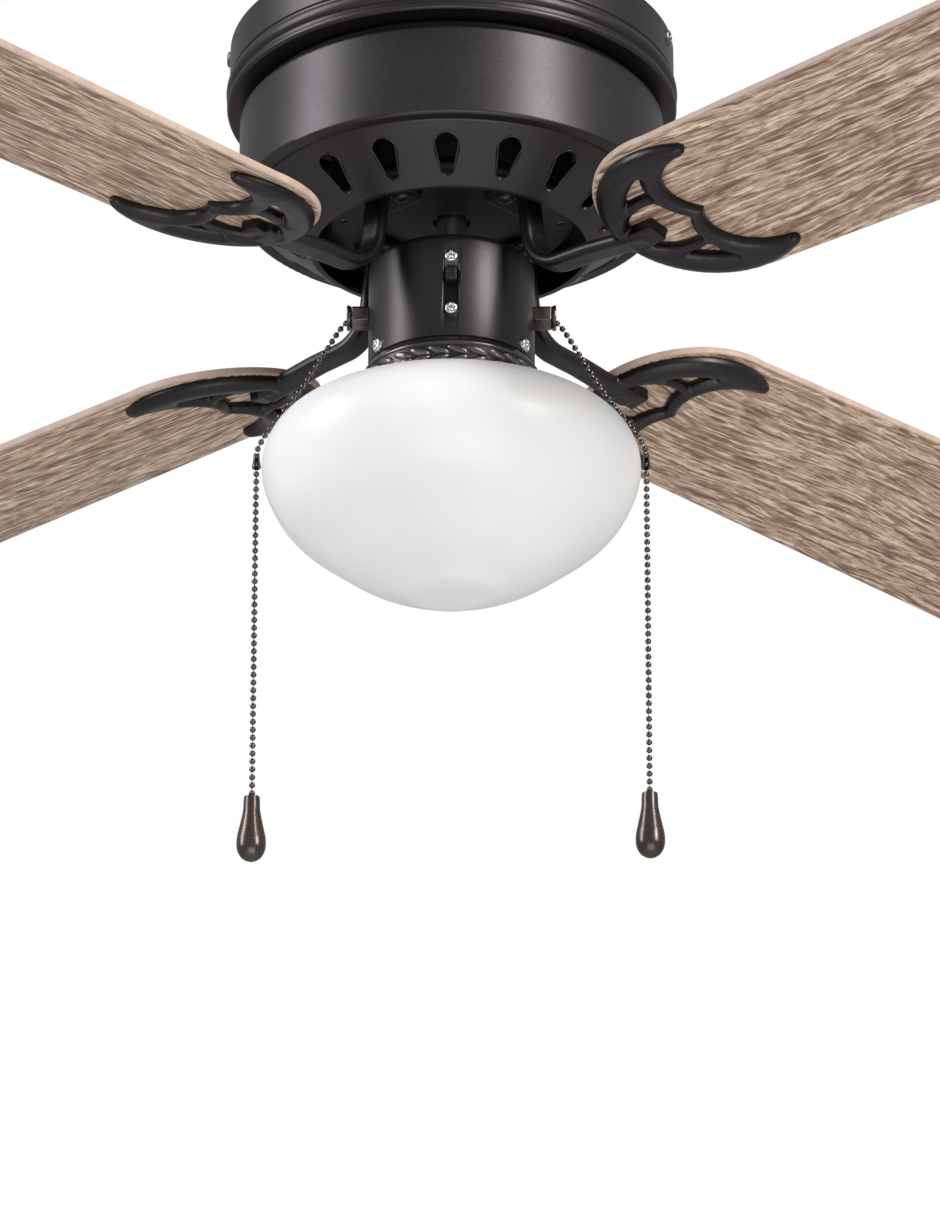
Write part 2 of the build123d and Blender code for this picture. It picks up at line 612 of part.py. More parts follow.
with BuildPart() as reverse_knob:
    with BuildSketch(Plane.XZ.offset(BODY_FRONT - 4.8)):
        with Locations((0, REVERSE_KNOB_Z)):
            Rectangle(6.4, 8.0)
    extrude(amount=4.4)
    with BuildSketch(Plane.XZ.offset(BODY_FRONT - 0.5)):
        with Locations((0, REVERSE_KNOB_Z)):
            Rectangle(5.6, 6.4)
    extrude(amount=5.6)
    for level in (-2, 0, 2):
        with BuildSketch(Plane.XZ.offset(BODY_FRONT + 5.1)):
            with Locations((0, REVERSE_KNOB_Z + level)):
                Rectangle(5.6, 0.7)
        extrude(amount=-0.6, mode=Mode.SUBTRACT)
save(reverse_knob, "reverse_knob")


def pull_switch(way):
    """Round pull switch behind an outlet: its case and terminals; way is -1 or +1 along X."""
    with BuildPart() as switch:
        with BuildSketch(Plane.YZ.offset(way * 40.0)):
            with Locations((0, SWITCH_Z)):
                Circle(11)
        extrude(amount=-17 * way)
        fillet(switch.edges().filter_by(GeomType.CIRCLE), 1.0)
        with BuildSketch(Plane.YZ.offset(way * 40.0)):
            with Locations((0, SWITCH_Z)):
                Circle(2.4)
        extrude(amount=-3 * way, mode=Mode.SUBTRACT)
        for level in (-5, 0, 5):
            with BuildSketch(Plane.YZ.offset(way * 23.0)):
                with Locations((0, SWITCH_Z + level)):
                    Rectangle(5, 0.8)
            extrude(amount=-5 * way)
    return switch


def chain_outlet(way):
    """Threaded outlet with its nut outside the housing and a bell mouth for the chain."""
    with BuildPart() as outlet:
        with BuildSketch(Plane.XZ):
            with BuildLine():
                Polyline((40.1, SWITCH_Z), (40.1, SWITCH_Z + OUTLET_STEM_R),
                         (SWITCH_R + 2.6, SWITCH_Z + OUTLET_STEM_R), (SWITCH_R + 4.2, SWITCH_Z + 3.6))
                Line((SWITCH_R + 4.2, SWITCH_Z + 3.6), (49.4, SWITCH_Z + 3.6))
                ThreePointArc((49.4, SWITCH_Z + 3.6), (51.8, SWITCH_Z + 6.0), (OUTLET_TIP_R - 0.5, SWITCH_Z + 6.9))
                Polyline((OUTLET_TIP_R - 0.5, SWITCH_Z + 6.9), (OUTLET_TIP_R, SWITCH_Z + 6.4),
                         (OUTLET_TIP_R, SWITCH_Z + 5.4))
                ThreePointArc((OUTLET_TIP_R, SWITCH_Z + 5.4), (52.9, SWITCH_Z + 4.5), (51.6, SWITCH_Z + 2.6))
                Polyline((51.6, SWITCH_Z + 2.6), (51.6, SWITCH_Z), (40.1, SWITCH_Z))
            make_face()
        revolve(axis=Axis((0, 0, SWITCH_Z), (1, 0, 0)))
        with BuildSketch(Plane.YZ.offset(SWITCH_R + GAP)):
            with Locations((0, SWITCH_Z)):
                RegularPolygon(7.0, 6)
        extrude(amount=2.4)
    if way > 0:
        return outlet
    with BuildPart() as flipped:
        add(outlet.part.mirror(Plane.YZ))
    return flipped


for name, way in (("fan", -1), ("light", 1)):
    save(pull_switch(way), f"{name}_pull_switch")
    save(chain_outlet(way), f"{name}_switch_outlet")

with BuildPart() as capacitor:
    with BuildSketch(Plane.XY.offset(-172)):
        with Locations((0, 21)):
            RectangleRounded(38, 15, 2)
    extrude(amount=32)
save(capacitor, "capacitor")

NIPPLE_R = 5.0
with BuildPart() as bottom_cap:
    with BuildSketch(Plane.XY.offset(SWITCH_BOTTOM_Z + 0.2)):
        Circle(SWITCH_INNER_R - 0.2)
        Circle(NIPPLE_R + GAP, mode=Mode.SUBTRACT)
        with Locations((0, 16)):
            Circle(4, mode=Mode.SUBTRACT)
    extrude(amount=SHEET)
save(bottom_cap, "bottom_cap")

# ---------------------------------------------------------------- light kit
PAN_Z = SWITCH_BOTTOM_Z - 0.4
with BuildPart() as light_fitter:
    with BuildSketch(Plane.XZ):
        with BuildLine():
            outline = FilletPolyline(
                (NIPPLE_R + GAP, PAN_Z - SHEET), (SWITCH_INNER_R, PAN_Z - SHEET),
                (SWITCH_INNER_R, SET_SCREW_Z + 1.2), (FITTER_R - SHEET, FITTER_FLARE_Z + 0.6),
                (FITTER_R - SHEET, FITTER_BOTTOM_Z), radius=(0.5, 1.5, 1.5))
            offset(outline, amount=SHEET, side=Side.LEFT)
        make_face()
    revolve(axis=Axis.Z)
    for angle in (90, 210, 330):
        with BuildSketch(radial_plane(SWITCH_R - 4, angle, SET_SCREW_Z)):
            Circle(1.9)
        extrude(amount=10, mode=Mode.SUBTRACT)
save(light_fitter, "light_fitter")

glass_screws = pan_screws(
    [radial_plane(FITTER_R + 0.1, angle, SET_SCREW_Z) for angle in (90, 210, 330)],
    3.9, 1.9, 1.7, FITTER_R - GLASS_NECK_R - 0.1)
save(glass_screws, "glass_screws")

with BuildPart() as fitter_nipple:
    with BuildSketch(Plane.XY.offset(-195)):
        Circle(NIPPLE_R)
        Circle(NIPPLE_R - 1.4, mode=Mode.SUBTRACT)
    extrude(amount=25)
save(fitter_nipple, "fitter_nipple")

with BuildPart() as nipple_nuts:
    for top_z in (SWITCH_BOTTOM_Z + 0.2 + SHEET + 3.6, PAN_Z - SHEET - GAP):
        with BuildSketch(Plane.XY.offset(top_z)):
            RegularPolygon(8.5, 6)
            Circle(NIPPLE_R + GAP, mode=Mode.SUBTRACT)
        extrude(amount=-3.5)
save(nipple_nuts, "nipple_nuts")

SOCKET_TOP_Z, SOCKET_BOTTOM_Z = -186.0, -226.0
with BuildPart() as lamp_socket:
    with BuildSketch(Plane.XZ):
        with BuildLine():
            Polyline(
                (NIPPLE_R + GAP, SOCKET_TOP_Z), (10, SOCKET_TOP_Z), (10, SOCKET_TOP_Z - 6),
                (18, SOCKET_TOP_Z - 10), (18, SOCKET_BOTTOM_Z), (13.9, SOCKET_BOTTOM_Z), (13.9, -198),
                (NIPPLE_R + GAP, -198), (NIPPLE_R + GAP, SOCKET_TOP_Z))
        make_face()
    revolve(axis=Axis.Z)
save(lamp_socket, "lamp_socket")

with BuildPart() as bulb:
    with BuildSketch(Plane.XZ):
        with BuildLine():
            Polyline((0, -199), (5, -199), (9, -202), (13.2, -204.5), (13.2, -227), (13.6, -231))
            globe = CenterArc((0, -265), 24, 36, -126)
            Line((13.6, -231), globe @ 0)
            Line((0, -289), (0, -199))
        make_face()
    revolve(axis=Axis.Z)
save(bulb, "bulb")

GLASS_LIP_Z = -179.0
with BuildPart() as glass_shade:
    with BuildSketch(Plane.XZ):
        with BuildLine():
            Polyline((0, -186), (GLASS_NECK_R, -186), (GLASS_NECK_R, -202.4))
            Spline(
                (GLASS_NECK_R, -202.4), (47, -205.2), (61, -209.4), (79, -216.4), (92.6, -226.4),
                (GLASS_R, GLASS_WIDE_Z), (95.0, -258.5), (84.9, -274.8), (66.6, -290.0), (46.6, -303.2),
                (28.3, -311.0), (0, GLASS_BOTTOM_Z), tangents=((0.25, -1), (-1, 0)))
            Line((0, GLASS_BOTTOM_Z), (0, -186))
        make_face()
    revolve(axis=Axis.Z)
    offset(amount=-GLASS_T, openings=glass_shade.faces().sort_by(Axis.Z)[-1])
    with BuildSketch(Plane.XY.offset(-186)):
        Circle(GLASS_NECK_R)
        Circle(GLASS_NECK_R - GLASS_T, mode=Mode.SUBTRACT)
    extrude(amount=GLASS_LIP_Z + 186)
    with BuildSketch(Plane.XY.offset(GLASS_LIP_Z)):
        Circle(41.6)
        Circle(GLASS_NECK_R - GLASS_T, mode=Mode.SUBTRACT)
    extrude(amount=-1.1)
save(glass_shade, "glass_shade")

# ---------------------------------------------------------------- pull chains
LOWER_CHAIN_GAP = 1.0
for name, way, fob_top in (("fan", -1, FAN_FOB_TOP_Z), ("light", 1, LIGHT_FOB_TOP_Z)):
    route = [(way * x, 0, z) for x, z in UPPER_CHAIN]
    radii = chain_radii(route)
    print(name, "upper chain radii", [round(r, 1) for r in radii])
    with BuildPart() as upper_chain:
        with BuildLine() as upper_path:
            FilletPolyline(*route, radius=radii)
        with BuildSketch(Plane(origin=upper_path.line @ 0, z_dir=upper_path.line % 0)):
            Circle(CHAIN_D / 2)
        sweep(path=upper_path.line)
    length = upper_path.wires()[0].length
    tube = math.pi * CHAIN_D ** 2 / 4 * length
    print(name, "upper chain length", round(length, 1),
          "volume", round(upper_chain.part.volume, 1), "of", round(tube, 1))
    save(upper_chain, f"{name}_chain_upper")

    connector_bottom = CONNECTOR_TOP_Z - CONNECTOR_LENGTH
    with BuildPart() as connector:
        with BuildSketch(Plane(origin=(way * CHAIN_X, 0, connector_bottom))):
            Circle(CONNECTOR_R)
        extrude(amount=CONNECTOR_LENGTH)
        chamfer(connector.edges().filter_by(GeomType.CIRCLE), 0.7)
    save(connector, f"{name}_chain_connector")

    lower_route = [
        (way * CHAIN_X, 0, connector_bottom - LOWER_CHAIN_GAP),
        (way * (CHAIN_X - 0.1), 0, -303),
        (way * (CHAIN_X - 0.3), 0, -364),
        (way * FOB_X, 0, fob_top),
    ]
    radii = chain_radii(lower_route)
    with BuildPart() as lower_chain:
        with BuildLine() as lower_path:
            FilletPolyline(*lower_route, radius=radii)
        with BuildSketch(Plane(origin=lower_path.line @ 0, z_dir=lower_path.line % 0)):
            Circle(CHAIN_D / 2)
        sweep(path=lower_path.line)
    print(name, "lower chain length", round(lower_path.wires()[0].length, 1), [round(r) for r in radii])
    save(lower_chain, f"{name}_chain_lower")

    with BuildPart() as fob:
        with BuildSketch(Plane.XZ):
            with BuildLine():
                Polyline((0, 0), (3.6, 0), (4.0, -0.6))
                Spline((4.0, -0.6), (4.4, -8), (6.3, -17.5), (FOB_R, -25.5), (5.3, -32.6), (0, -FOB_LENGTH),
                       tangents=((-0.1, -1), (-1, 0)))
                Line((0, -FOB_LENGTH), (0, 0))
            make_face()
        revolve(axis=Axis.Z)
    with BuildPart() as placed_fob:
        with Locations((way * FOB_X, 0, fob_top)):
            add(fob.part)
    save(placed_fob, f"{name}_pull_fob")
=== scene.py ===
"""Looks of the flush-mount ceiling fan with light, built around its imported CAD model.

Helpers take millimetres in the row frame. Finished meshes, textures, lights and the camera are in metres.
"""
import math

import bmesh
import bpy
import numpy as np
from mathutils import Matrix, Vector
from mathutils.geometry import delaunay_2d_cdt


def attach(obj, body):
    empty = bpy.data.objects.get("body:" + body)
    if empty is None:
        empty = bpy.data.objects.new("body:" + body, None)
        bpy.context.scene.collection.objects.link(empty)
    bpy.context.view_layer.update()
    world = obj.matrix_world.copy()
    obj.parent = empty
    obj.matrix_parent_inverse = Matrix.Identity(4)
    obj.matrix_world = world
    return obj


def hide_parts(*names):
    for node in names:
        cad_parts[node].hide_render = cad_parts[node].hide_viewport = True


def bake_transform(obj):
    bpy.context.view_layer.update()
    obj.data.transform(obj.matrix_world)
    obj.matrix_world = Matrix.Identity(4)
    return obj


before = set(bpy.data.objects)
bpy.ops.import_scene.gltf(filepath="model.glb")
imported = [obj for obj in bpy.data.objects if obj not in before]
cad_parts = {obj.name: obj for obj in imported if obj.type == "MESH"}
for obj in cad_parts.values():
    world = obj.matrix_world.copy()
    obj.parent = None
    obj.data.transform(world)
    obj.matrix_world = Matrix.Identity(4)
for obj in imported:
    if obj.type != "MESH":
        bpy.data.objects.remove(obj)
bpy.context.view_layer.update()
scene = bpy.context.scene
MM = 0.001

# ------------------------------------------------------------------ sizes shared with the CAD source
BLADE_ANGLES = (46.4, 136.4, 226.4, 316.4)
BLADE_Z = -149.05
BLADE_PITCH = -11.1
BLADE_FRAME = Matrix.Translation((0, 0, BLADE_Z)) @ Matrix.Rotation(math.radians(BLADE_PITCH), 4, "X")
BLADE_T = 4.2
UNDERSIDE = -BLADE_T / 2
IRON_T = 7.0
BLADE_SCREWS = ((141.0, 0.0), (183.0, 42.5), (183.0, -42.5))
IRON_PAD_Z = -105.0
CHAIN_D = 3.2
CHAIN_PITCH = 4.3
CHAIN_X = 101.3
FOB_X = 100.8
COUPLING_TOP_Z = -233.6
LOWER_CHAIN_TOP_Z = -244.0
FOB_TOPS_Z = {"fan": -424.0, "light": -422.0}
UPPER_CHAIN = (
    (50.5, -156.0), (55.6, -158.4), (59.2, -163.5), (63.8, -171.4), (70.4, -183.5),
    (77.4, -195.6), (85.0, -206.9), (92.6, -217.2), (98.2, -224.8), (101.3, -232.8),
)
CANOPY_SCREW_ANGLES = (84, 182.7, 345.5)
CANOPY_SCREW_Z = -5.4
VENT_COUNT = 18
VENT_START = 268.6
VENT_WIDE = (93.2, 6.8)         # distance from the axis and radius of a vent slot's outer end
VENT_NARROW = (83.6, 4.0)       # and of its inner end
SWITCH_R = 43.7
SWITCH_TOP_Z = -126.5
SWITCH_Z = -156.0
SWITCH_SCREWS_Z = (-141.0, -171.0)
FITTER_R = 46.8
FITTER_BOTTOM_Z = -204.0
FITTER_SCREW_Z = -182.0


# ------------------------------------------------------------------ camera
def add_camera():
    """The photograph's view: below the fan, a long lens looking up."""
    data = bpy.data.cameras.new("camera")
    data.lens = 158.8
    data.sensor_width = 36.0
    data.clip_end = 50.0
    camera = bpy.data.objects.new("camera", data)
    camera.location = (0.0097, -2.5455, -1.3739)
    camera.rotation_euler = (math.radians(90 + 22.48), 0, 0)
    scene.collection.objects.link(camera)
    scene.camera = camera


add_camera()


# ------------------------------------------------------------------ node materials
class Look:
    """A Principled material whose colour, roughness and relief come from procedural textures."""

    def __init__(self, name, **sockets):
        self.material = bpy.data.materials.new(name)
        self.material.use_nodes = True
        self.tree = self.material.node_tree
        self.shader = self.tree.nodes["Principled BSDF"]
        self.turns = ()
        self.set(**sockets)

    def set(self, **sockets):
        """Sets or links the shader's sockets, such as Base_Color or Roughness."""
        for name, value in sockets.items():
            self.feed(self.shader.inputs[name.replace("_", " ")], value)

    def feed(self, socket, value):
        if isinstance(value, bpy.types.NodeSocket):
            self.tree.links.new(value, socket)
        elif isinstance(value, tuple) and len(value) == 3 and socket.type == "RGBA":
            socket.default_value = (*value, 1)
        else:
            socket.default_value = value

    def node(self, kind, inputs=None, **attributes):
        node = self.tree.nodes.new(kind)
        for name, value in attributes.items():
            setattr(node, name, value)
        for name, value in (inputs or {}).items():
            self.feed(node.inputs[name], value)
        return node

    def place(self, scale=(1, 1, 1), shift=(0, 0, 0)):
        """Object coordinates in metres, turned to lie along the piece, shifted and then scaled."""
        coordinates = self.node("ShaderNodeTexCoord").outputs["Object"]
        for kind, centre, angle in self.turns:
            coordinates = self.node("ShaderNodeVectorRotate", {
                "Vector": coordinates, "Center": centre, "Angle": angle}, rotation_type=kind).outputs[0]
        moved = self.node("ShaderNodeVectorMath", {0: coordinates, 1: shift}, operation="ADD")
        scaled = self.node("ShaderNodeVectorMath", {0: moved.outputs[0], 1: scale}, operation="MULTIPLY")
        return scaled.outputs[0]

    def noise(self, vector, scale, detail=3.0, roughness=0.5, distortion=0.0):
        return self.node("ShaderNodeTexNoise", {
            "Vector": vector, "Scale": scale, "Detail": detail, "Roughness": roughness,
            "Distortion": distortion}).outputs["Fac"]

    def ramp(self, factor, *stops):
        """A colour from (position, colour) stops, or a number from (position, number) stops."""
        node = self.node("ShaderNodeValToRGB", {"Fac": factor})
        elements = node.color_ramp.elements
        while len(elements) < len(stops):
            elements.new(0.5)
        for element, (position, value) in zip(elements, stops):
            element.position = position
            element.color = (*value, 1) if isinstance(value, tuple) else (value, value, value, 1)
        return node.outputs["Color"]

    def maths(self, operation, *values):
        return self.node("ShaderNodeMath", dict(enumerate(values)), operation=operation).outputs[0]

    def mix(self, factor, first, second):
        node = self.node("ShaderNodeMix", data_type="RGBA")
        self.feed(node.inputs["Factor"], factor)
        self.feed(node.inputs[6], first)
        self.feed(node.inputs[7], second)
        return node.outputs[2]

    def bump(self, height, strength, distance):
        return self.node("ShaderNodeBump", {
            "Height": height, "Strength": strength, "Distance": distance}).outputs["Normal"]


def painted_metal(name, dark, light, rough, grain=900.0, relief=0.05, metallic=0.9, patina=None):
    """Satin or cast metal: broad shifts of tone, a fine grain in gloss and relief, perhaps a patina."""
    look = Look(name, Metallic=metallic)
    broad = look.noise(look.place(), 14.0, 4.0, 0.6)
    fine = look.noise(look.place(), grain, 2.0, 0.6)
    colour = look.ramp(broad, (0.32, dark), (0.68, light))
    colour = look.mix(0.35, colour, look.ramp(fine, (0.35, dark), (0.7, light)))
    if patina:
        patches = look.noise(look.place(shift=(0.3, 0.1, 0.2)), 60.0, 5.0, 0.65)
        patina_and_highlight = look.ramp(patches, (0.5, 0.0), (0.68, 0.8))
        colour = look.mix(patina_and_highlight, colour, patina)
    look.set(Base_Color=colour,
             Roughness=look.ramp(fine, (0.3, rough - 0.04), (0.7, rough + 0.05)),
             Normal=look.bump(fine, relief, 0.0004))
    return look.material


def painted_highlight_leaves(name):
    """Cast leaves with a painted highlight: their raised backs and edges are painted brighter, where light
    would catch them.
    """
    look = Look(name, Metallic=0.9)
    edges = look.node("ShaderNodeNewGeometry").outputs["Pointiness"]
    # painted highlight: high pointiness on the leaves' raised backs and edges picks a brighter colour
    patina_and_highlight = look.ramp(edges, (0.50, 0.0), (0.56, 1.0))
    fine = look.noise(look.place(), 700.0, 2.0, 0.6)
    dark = look.ramp(fine, (0.3, (0.040, 0.036, 0.037)), (0.7, (0.070, 0.063, 0.064)))
    look.set(Base_Color=look.mix(patina_and_highlight, dark, (0.30, 0.28, 0.27)),
             Roughness=look.ramp(fine, (0.3, 0.26), (0.7, 0.34)),
             Normal=look.bump(fine, 0.08, 0.0003))
    return look.material


def plain_look(name, dark, light, rough, metallic=0.0, scale=120.0, relief=0.04):
    """A simple material with a little mottling in colour, gloss and relief."""
    look = Look(name, Metallic=metallic)
    mottle = look.noise(look.place(), scale, 4.0, 0.6)
    look.set(Base_Color=look.ramp(mottle, (0.3, dark), (0.7, light)),
             Roughness=look.ramp(mottle, (0.3, rough), (0.7, rough + 0.08)),
             Normal=look.bump(mottle, relief, 0.0003))
    return look.material


OAK_TURN_CENTRE = (0, 0, -0.149)    # close to the blade plane, in metres


def oak(name, seed, arches, angle=0.0):
    """Weathered oak laminate with its grain along a blade at an angle; arches sets the arched grain."""
    look = Look(name, Specular_IOR_Level=0.35)
    look.turns = (("Z_AXIS", (0, 0, 0), -math.radians(angle)),
                  ("X_AXIS", OAK_TURN_CENTRE, -math.radians(BLADE_PITCH)))
    shift = (0.37 * seed, 0.11 * seed, 0.0)
    warp = look.noise(look.place((5.0, 12.0, 1.0), shift), 1.0, 3.0, 0.5)
    base = look.place((1.0, 1.0, 0.0), shift)
    apart = look.node("ShaderNodeSeparateXYZ", {"Vector": look.place()})
    along, across = apart.outputs["X"], apart.outputs["Y"]
    drift = look.maths("ADD", across, look.maths("MULTIPLY", look.maths("SUBTRACT", warp, 0.5), 0.03))

    def strokes(length, width, depth, detail, roughness):
        """Noise drawn out along the grain."""
        stretched = look.node("ShaderNodeCombineXYZ", {
            "X": look.maths("MULTIPLY", along, length),
            "Y": look.maths("MULTIPLY", drift, width),
            "Z": depth + seed})
        return look.noise(stretched.outputs[0], 1.0, detail, roughness)

    # arched rings: long parabolas that open towards the tip
    off_centre = look.maths("ABSOLUTE", look.maths("ADD", drift, 0.006))
    bow = look.maths("MULTIPLY", look.maths("POWER", off_centre, 1.6), 34.0)
    rings = look.maths("ADD", look.maths("MULTIPLY", along, arches), bow)
    wander = look.maths("MULTIPLY", look.noise(base, 16.0, 3.0, 0.5), 0.55)
    phase = look.maths("FRACT", look.maths("MULTIPLY", look.maths("ADD", rings, wander), 11.0))
    ring_tone = look.ramp(phase, (0.0, 0.16), (0.45, 0.60), (0.88, 0.82), (1.0, 0.16))
    straight = strokes(6.0, 120.0, 0.0, 5.0, 0.62)
    dashes = strokes(34.0, 430.0, 3.0, 3.0, 0.6)
    light_strokes = strokes(26.0, 380.0, 17.0, 3.0, 0.6)
    specks = strokes(120.0, 900.0, 9.0, 2.0, 0.6)
    tone = look.mix(0.55, ring_tone, look.ramp(straight, (0.38, 0.04), (0.63, 0.98)))
    colour = look.ramp(tone, (0.10, (0.250, 0.140, 0.092)), (0.38, (0.410, 0.265, 0.180)),
                       (0.62, (0.560, 0.395, 0.285)), (0.88, (0.740, 0.560, 0.425)))
    colour = look.mix(look.ramp(light_strokes, (0.49, 0.0), (0.60, 0.90)), colour, (0.90, 0.73, 0.59))
    colour = look.mix(look.ramp(dashes, (0.40, 0.92), (0.49, 0.0)), colour, (0.180, 0.098, 0.066))
    colour = look.mix(look.ramp(specks, (0.38, 0.65), (0.48, 0.0)), colour, (0.20, 0.115, 0.078))
    look.set(Base_Color=colour,
             Roughness=look.ramp(dashes, (0.3, 0.62), (0.7, 0.48)),
             Normal=look.bump(dashes, 0.3, 0.0003))
    return look.material


def opal(name):
    """White opal glass: a soft body and a thin satin gloss with faint clouds."""
    look = Look(name, IOR=1.5, Specular_IOR_Level=0.5, Coat_Weight=0.15, Coat_Roughness=0.25)
    cloud = look.noise(look.place(), 24.0, 3.0, 0.5)
    look.set(Base_Color=look.ramp(cloud, (0.3, (0.905, 0.900, 0.896)), (0.7, (0.925, 0.922, 0.918))),
             Roughness=look.ramp(cloud, (0.3, 0.34), (0.7, 0.40)),
             Normal=look.bump(look.noise(look.place(), 60.0, 2.0, 0.5), 0.02, 0.0005))
    return look.material


LOOKS = {
    "bronze_paint": painted_metal("bronze_paint", (0.044, 0.040, 0.041), (0.060, 0.055, 0.056), 0.38),
    "bronze_cast": painted_metal("bronze_cast", (0.030, 0.027, 0.028), (0.052, 0.047, 0.048), 0.33,
                                 500.0, 0.14),
    "bronze_metal": painted_metal("bronze_metal", (0.12, 0.11, 0.10), (0.20, 0.18, 0.17), 0.28),
    "bronze_chain": painted_metal("bronze_chain", (0.085, 0.072, 0.071), (0.160, 0.138, 0.134), 0.12,
                                  1500.0, 0.05, 0.95),
    "bronze_fob": painted_metal("bronze_fob", (0.060, 0.048, 0.045), (0.105, 0.088, 0.082), 0.26,
                                700.0, 0.06, 0.9, (0.150, 0.088, 0.060)),
    "cast_dark": painted_metal("cast_dark", (0.035, 0.032, 0.031), (0.055, 0.050, 0.048), 0.5, 400.0, 0.2),
    "core_steel": plain_look("core_steel", (0.16, 0.16, 0.165), (0.24, 0.24, 0.25), 0.45, 1.0),
    "shaft_steel": plain_look("shaft_steel", (0.42, 0.42, 0.43), (0.52, 0.52, 0.53), 0.3, 1.0),
    "zinc_steel": plain_look("zinc_steel", (0.48, 0.48, 0.47), (0.60, 0.60, 0.58), 0.38, 1.0, 60.0),
    "screw_steel": plain_look("screw_steel", (0.62, 0.61, 0.60), (0.78, 0.77, 0.76), 0.22, 1.0, 300.0),
    "copper": plain_look("copper", (0.42, 0.16, 0.07), (0.60, 0.26, 0.12), 0.35, 1.0, 500.0, 0.3),
    "black_plastic": plain_look("black_plastic", (0.012, 0.012, 0.013), (0.020, 0.020, 0.021), 0.42,
                                0.0, 400.0),
    "porcelain": plain_look("porcelain", (0.78, 0.77, 0.74), (0.84, 0.83, 0.80), 0.22),
    "bulb_glass": plain_look("bulb_glass", (0.82, 0.81, 0.78), (0.88, 0.87, 0.84), 0.3),
    "opal_glass": opal("opal_glass"),
    "oak_laminate": oak("oak_laminate", 1, 0.35),
}
OAK = [oak(f"oak_laminate_{n}", n, share, angle)
       for n, share, angle in zip((1, 2, 3, 4), (0.25, 0.2, 0.3, 1.0), BLADE_ANGLES)]
OAK_EDGE = plain_look("oak_edge_band", (0.40, 0.285, 0.225), (0.54, 0.41, 0.335), 0.5, 0.0, 90.0)
# the leaf band's material, with a painted highlight on the leaves' backs and edges
LEAVES_LOOK = painted_highlight_leaves("painted_highlight_leaves")
DARK_SCREW = plain_look("dark_screw", (0.030, 0.028, 0.027), (0.060, 0.055, 0.052), 0.34, 0.8, 300.0)

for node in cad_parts.values():
    for material_slot in node.material_slots:
        material_slot.material = LOOKS[material_slot.material.name.split(".")[0]]


# ------------------------------------------------------------------ outlines
def arc(start, through, end, steps=16):
    """Points of the circular arc through three points in a plane."""
    (ax, ay), (bx, by), (cx, cy) = start, through, end
    double = 2 * (ax * (by - cy) + bx * (cy - ay) + cx * (ay - by))
    a2, b2, c2 = ax * ax + ay * ay, bx * bx + by * by, cx * cx + cy * cy
    ox = (a2 * (by - cy) + b2 * (cy - ay) + c2 * (ay - by)) / double
    oy = (a2 * (cx - bx) + b2 * (ax - cx) + c2 * (bx - ax)) / double
    radius = math.hypot(ax - ox, ay - oy)
    first, middle, last = (math.atan2(y - oy, x - ox) for x, y in (start, through, end))
    turn = (last - first) % (2 * math.pi)
    if (middle - first) % (2 * math.pi) > turn:
        turn -= 2 * math.pi
    angles = [first + turn * i / steps for i in range(steps + 1)]
    return [(ox + radius * math.cos(t), oy + radius * math.sin(t)) for t in angles]


def rounded(corners, radii, closed=False, steps=6):
    """The corners of an outline, each rounded to its radius."""
    made, count = [], len(corners)
    for i, (corner, radius) in enumerate(zip(corners, radii)):
        here = Vector(corner)
        if radius == 0 or (not closed and i in (0, count - 1)):
            made.append(here)
            continue
        back, ahead = Vector(corners[i - 1]) - here, Vector(corners[(i + 1) % count]) - here
        half = back.angle(ahead) / 2
        reach = min(radius / math.tan(half), 0.48 * min(back.length, ahead.length))
        centre = here + (back.normalized() + ahead.normalized()).normalized() * (reach / math.cos(half))
        first = here + back.normalized() * reach - centre
        last = here + ahead.normalized() * reach - centre
        whole = first.angle(last)
        for k in range(steps + 1):
            share = k / steps
            made.append(centre + (first * math.sin((1 - share) * whole) + last * math.sin(share * whole))
                        / math.sin(whole))
    return [tuple(p) for p in made]


def shell(outline, thickness):
    """A closed outline: an open outer line and its copy moved to its right by a thickness."""
    line = np.array(outline, float)
    ways = np.gradient(line, axis=0)
    ways /= np.linalg.norm(ways, axis=1)[:, None]
    inner = line + np.stack([ways[:, 1], -ways[:, 0]], 1) * thickness
    return [tuple(p) for p in line] + [tuple(p) for p in inner[::-1]]


def thinned(outline, gap):
    """The outline without points closer than a gap to the one before."""
    kept = [outline[0]]
    for point in outline[1:]:
        if math.dist(point, kept[-1]) > gap:
            kept.append(point)
    if math.dist(kept[0], kept[-1]) < gap:
        kept.pop()
    return kept


def divided(outline, gap):
    """A closed outline with extra points, no two further apart than a gap."""
    made = []
    for here, ahead in zip(outline, outline[1:] + outline[:1]):
        count = max(1, math.ceil(math.dist(here, ahead) / gap))
        start, step = np.array(here), np.array(ahead) - np.array(here)
        made += [tuple(start + step * k / count) for k in range(count)]
    return made


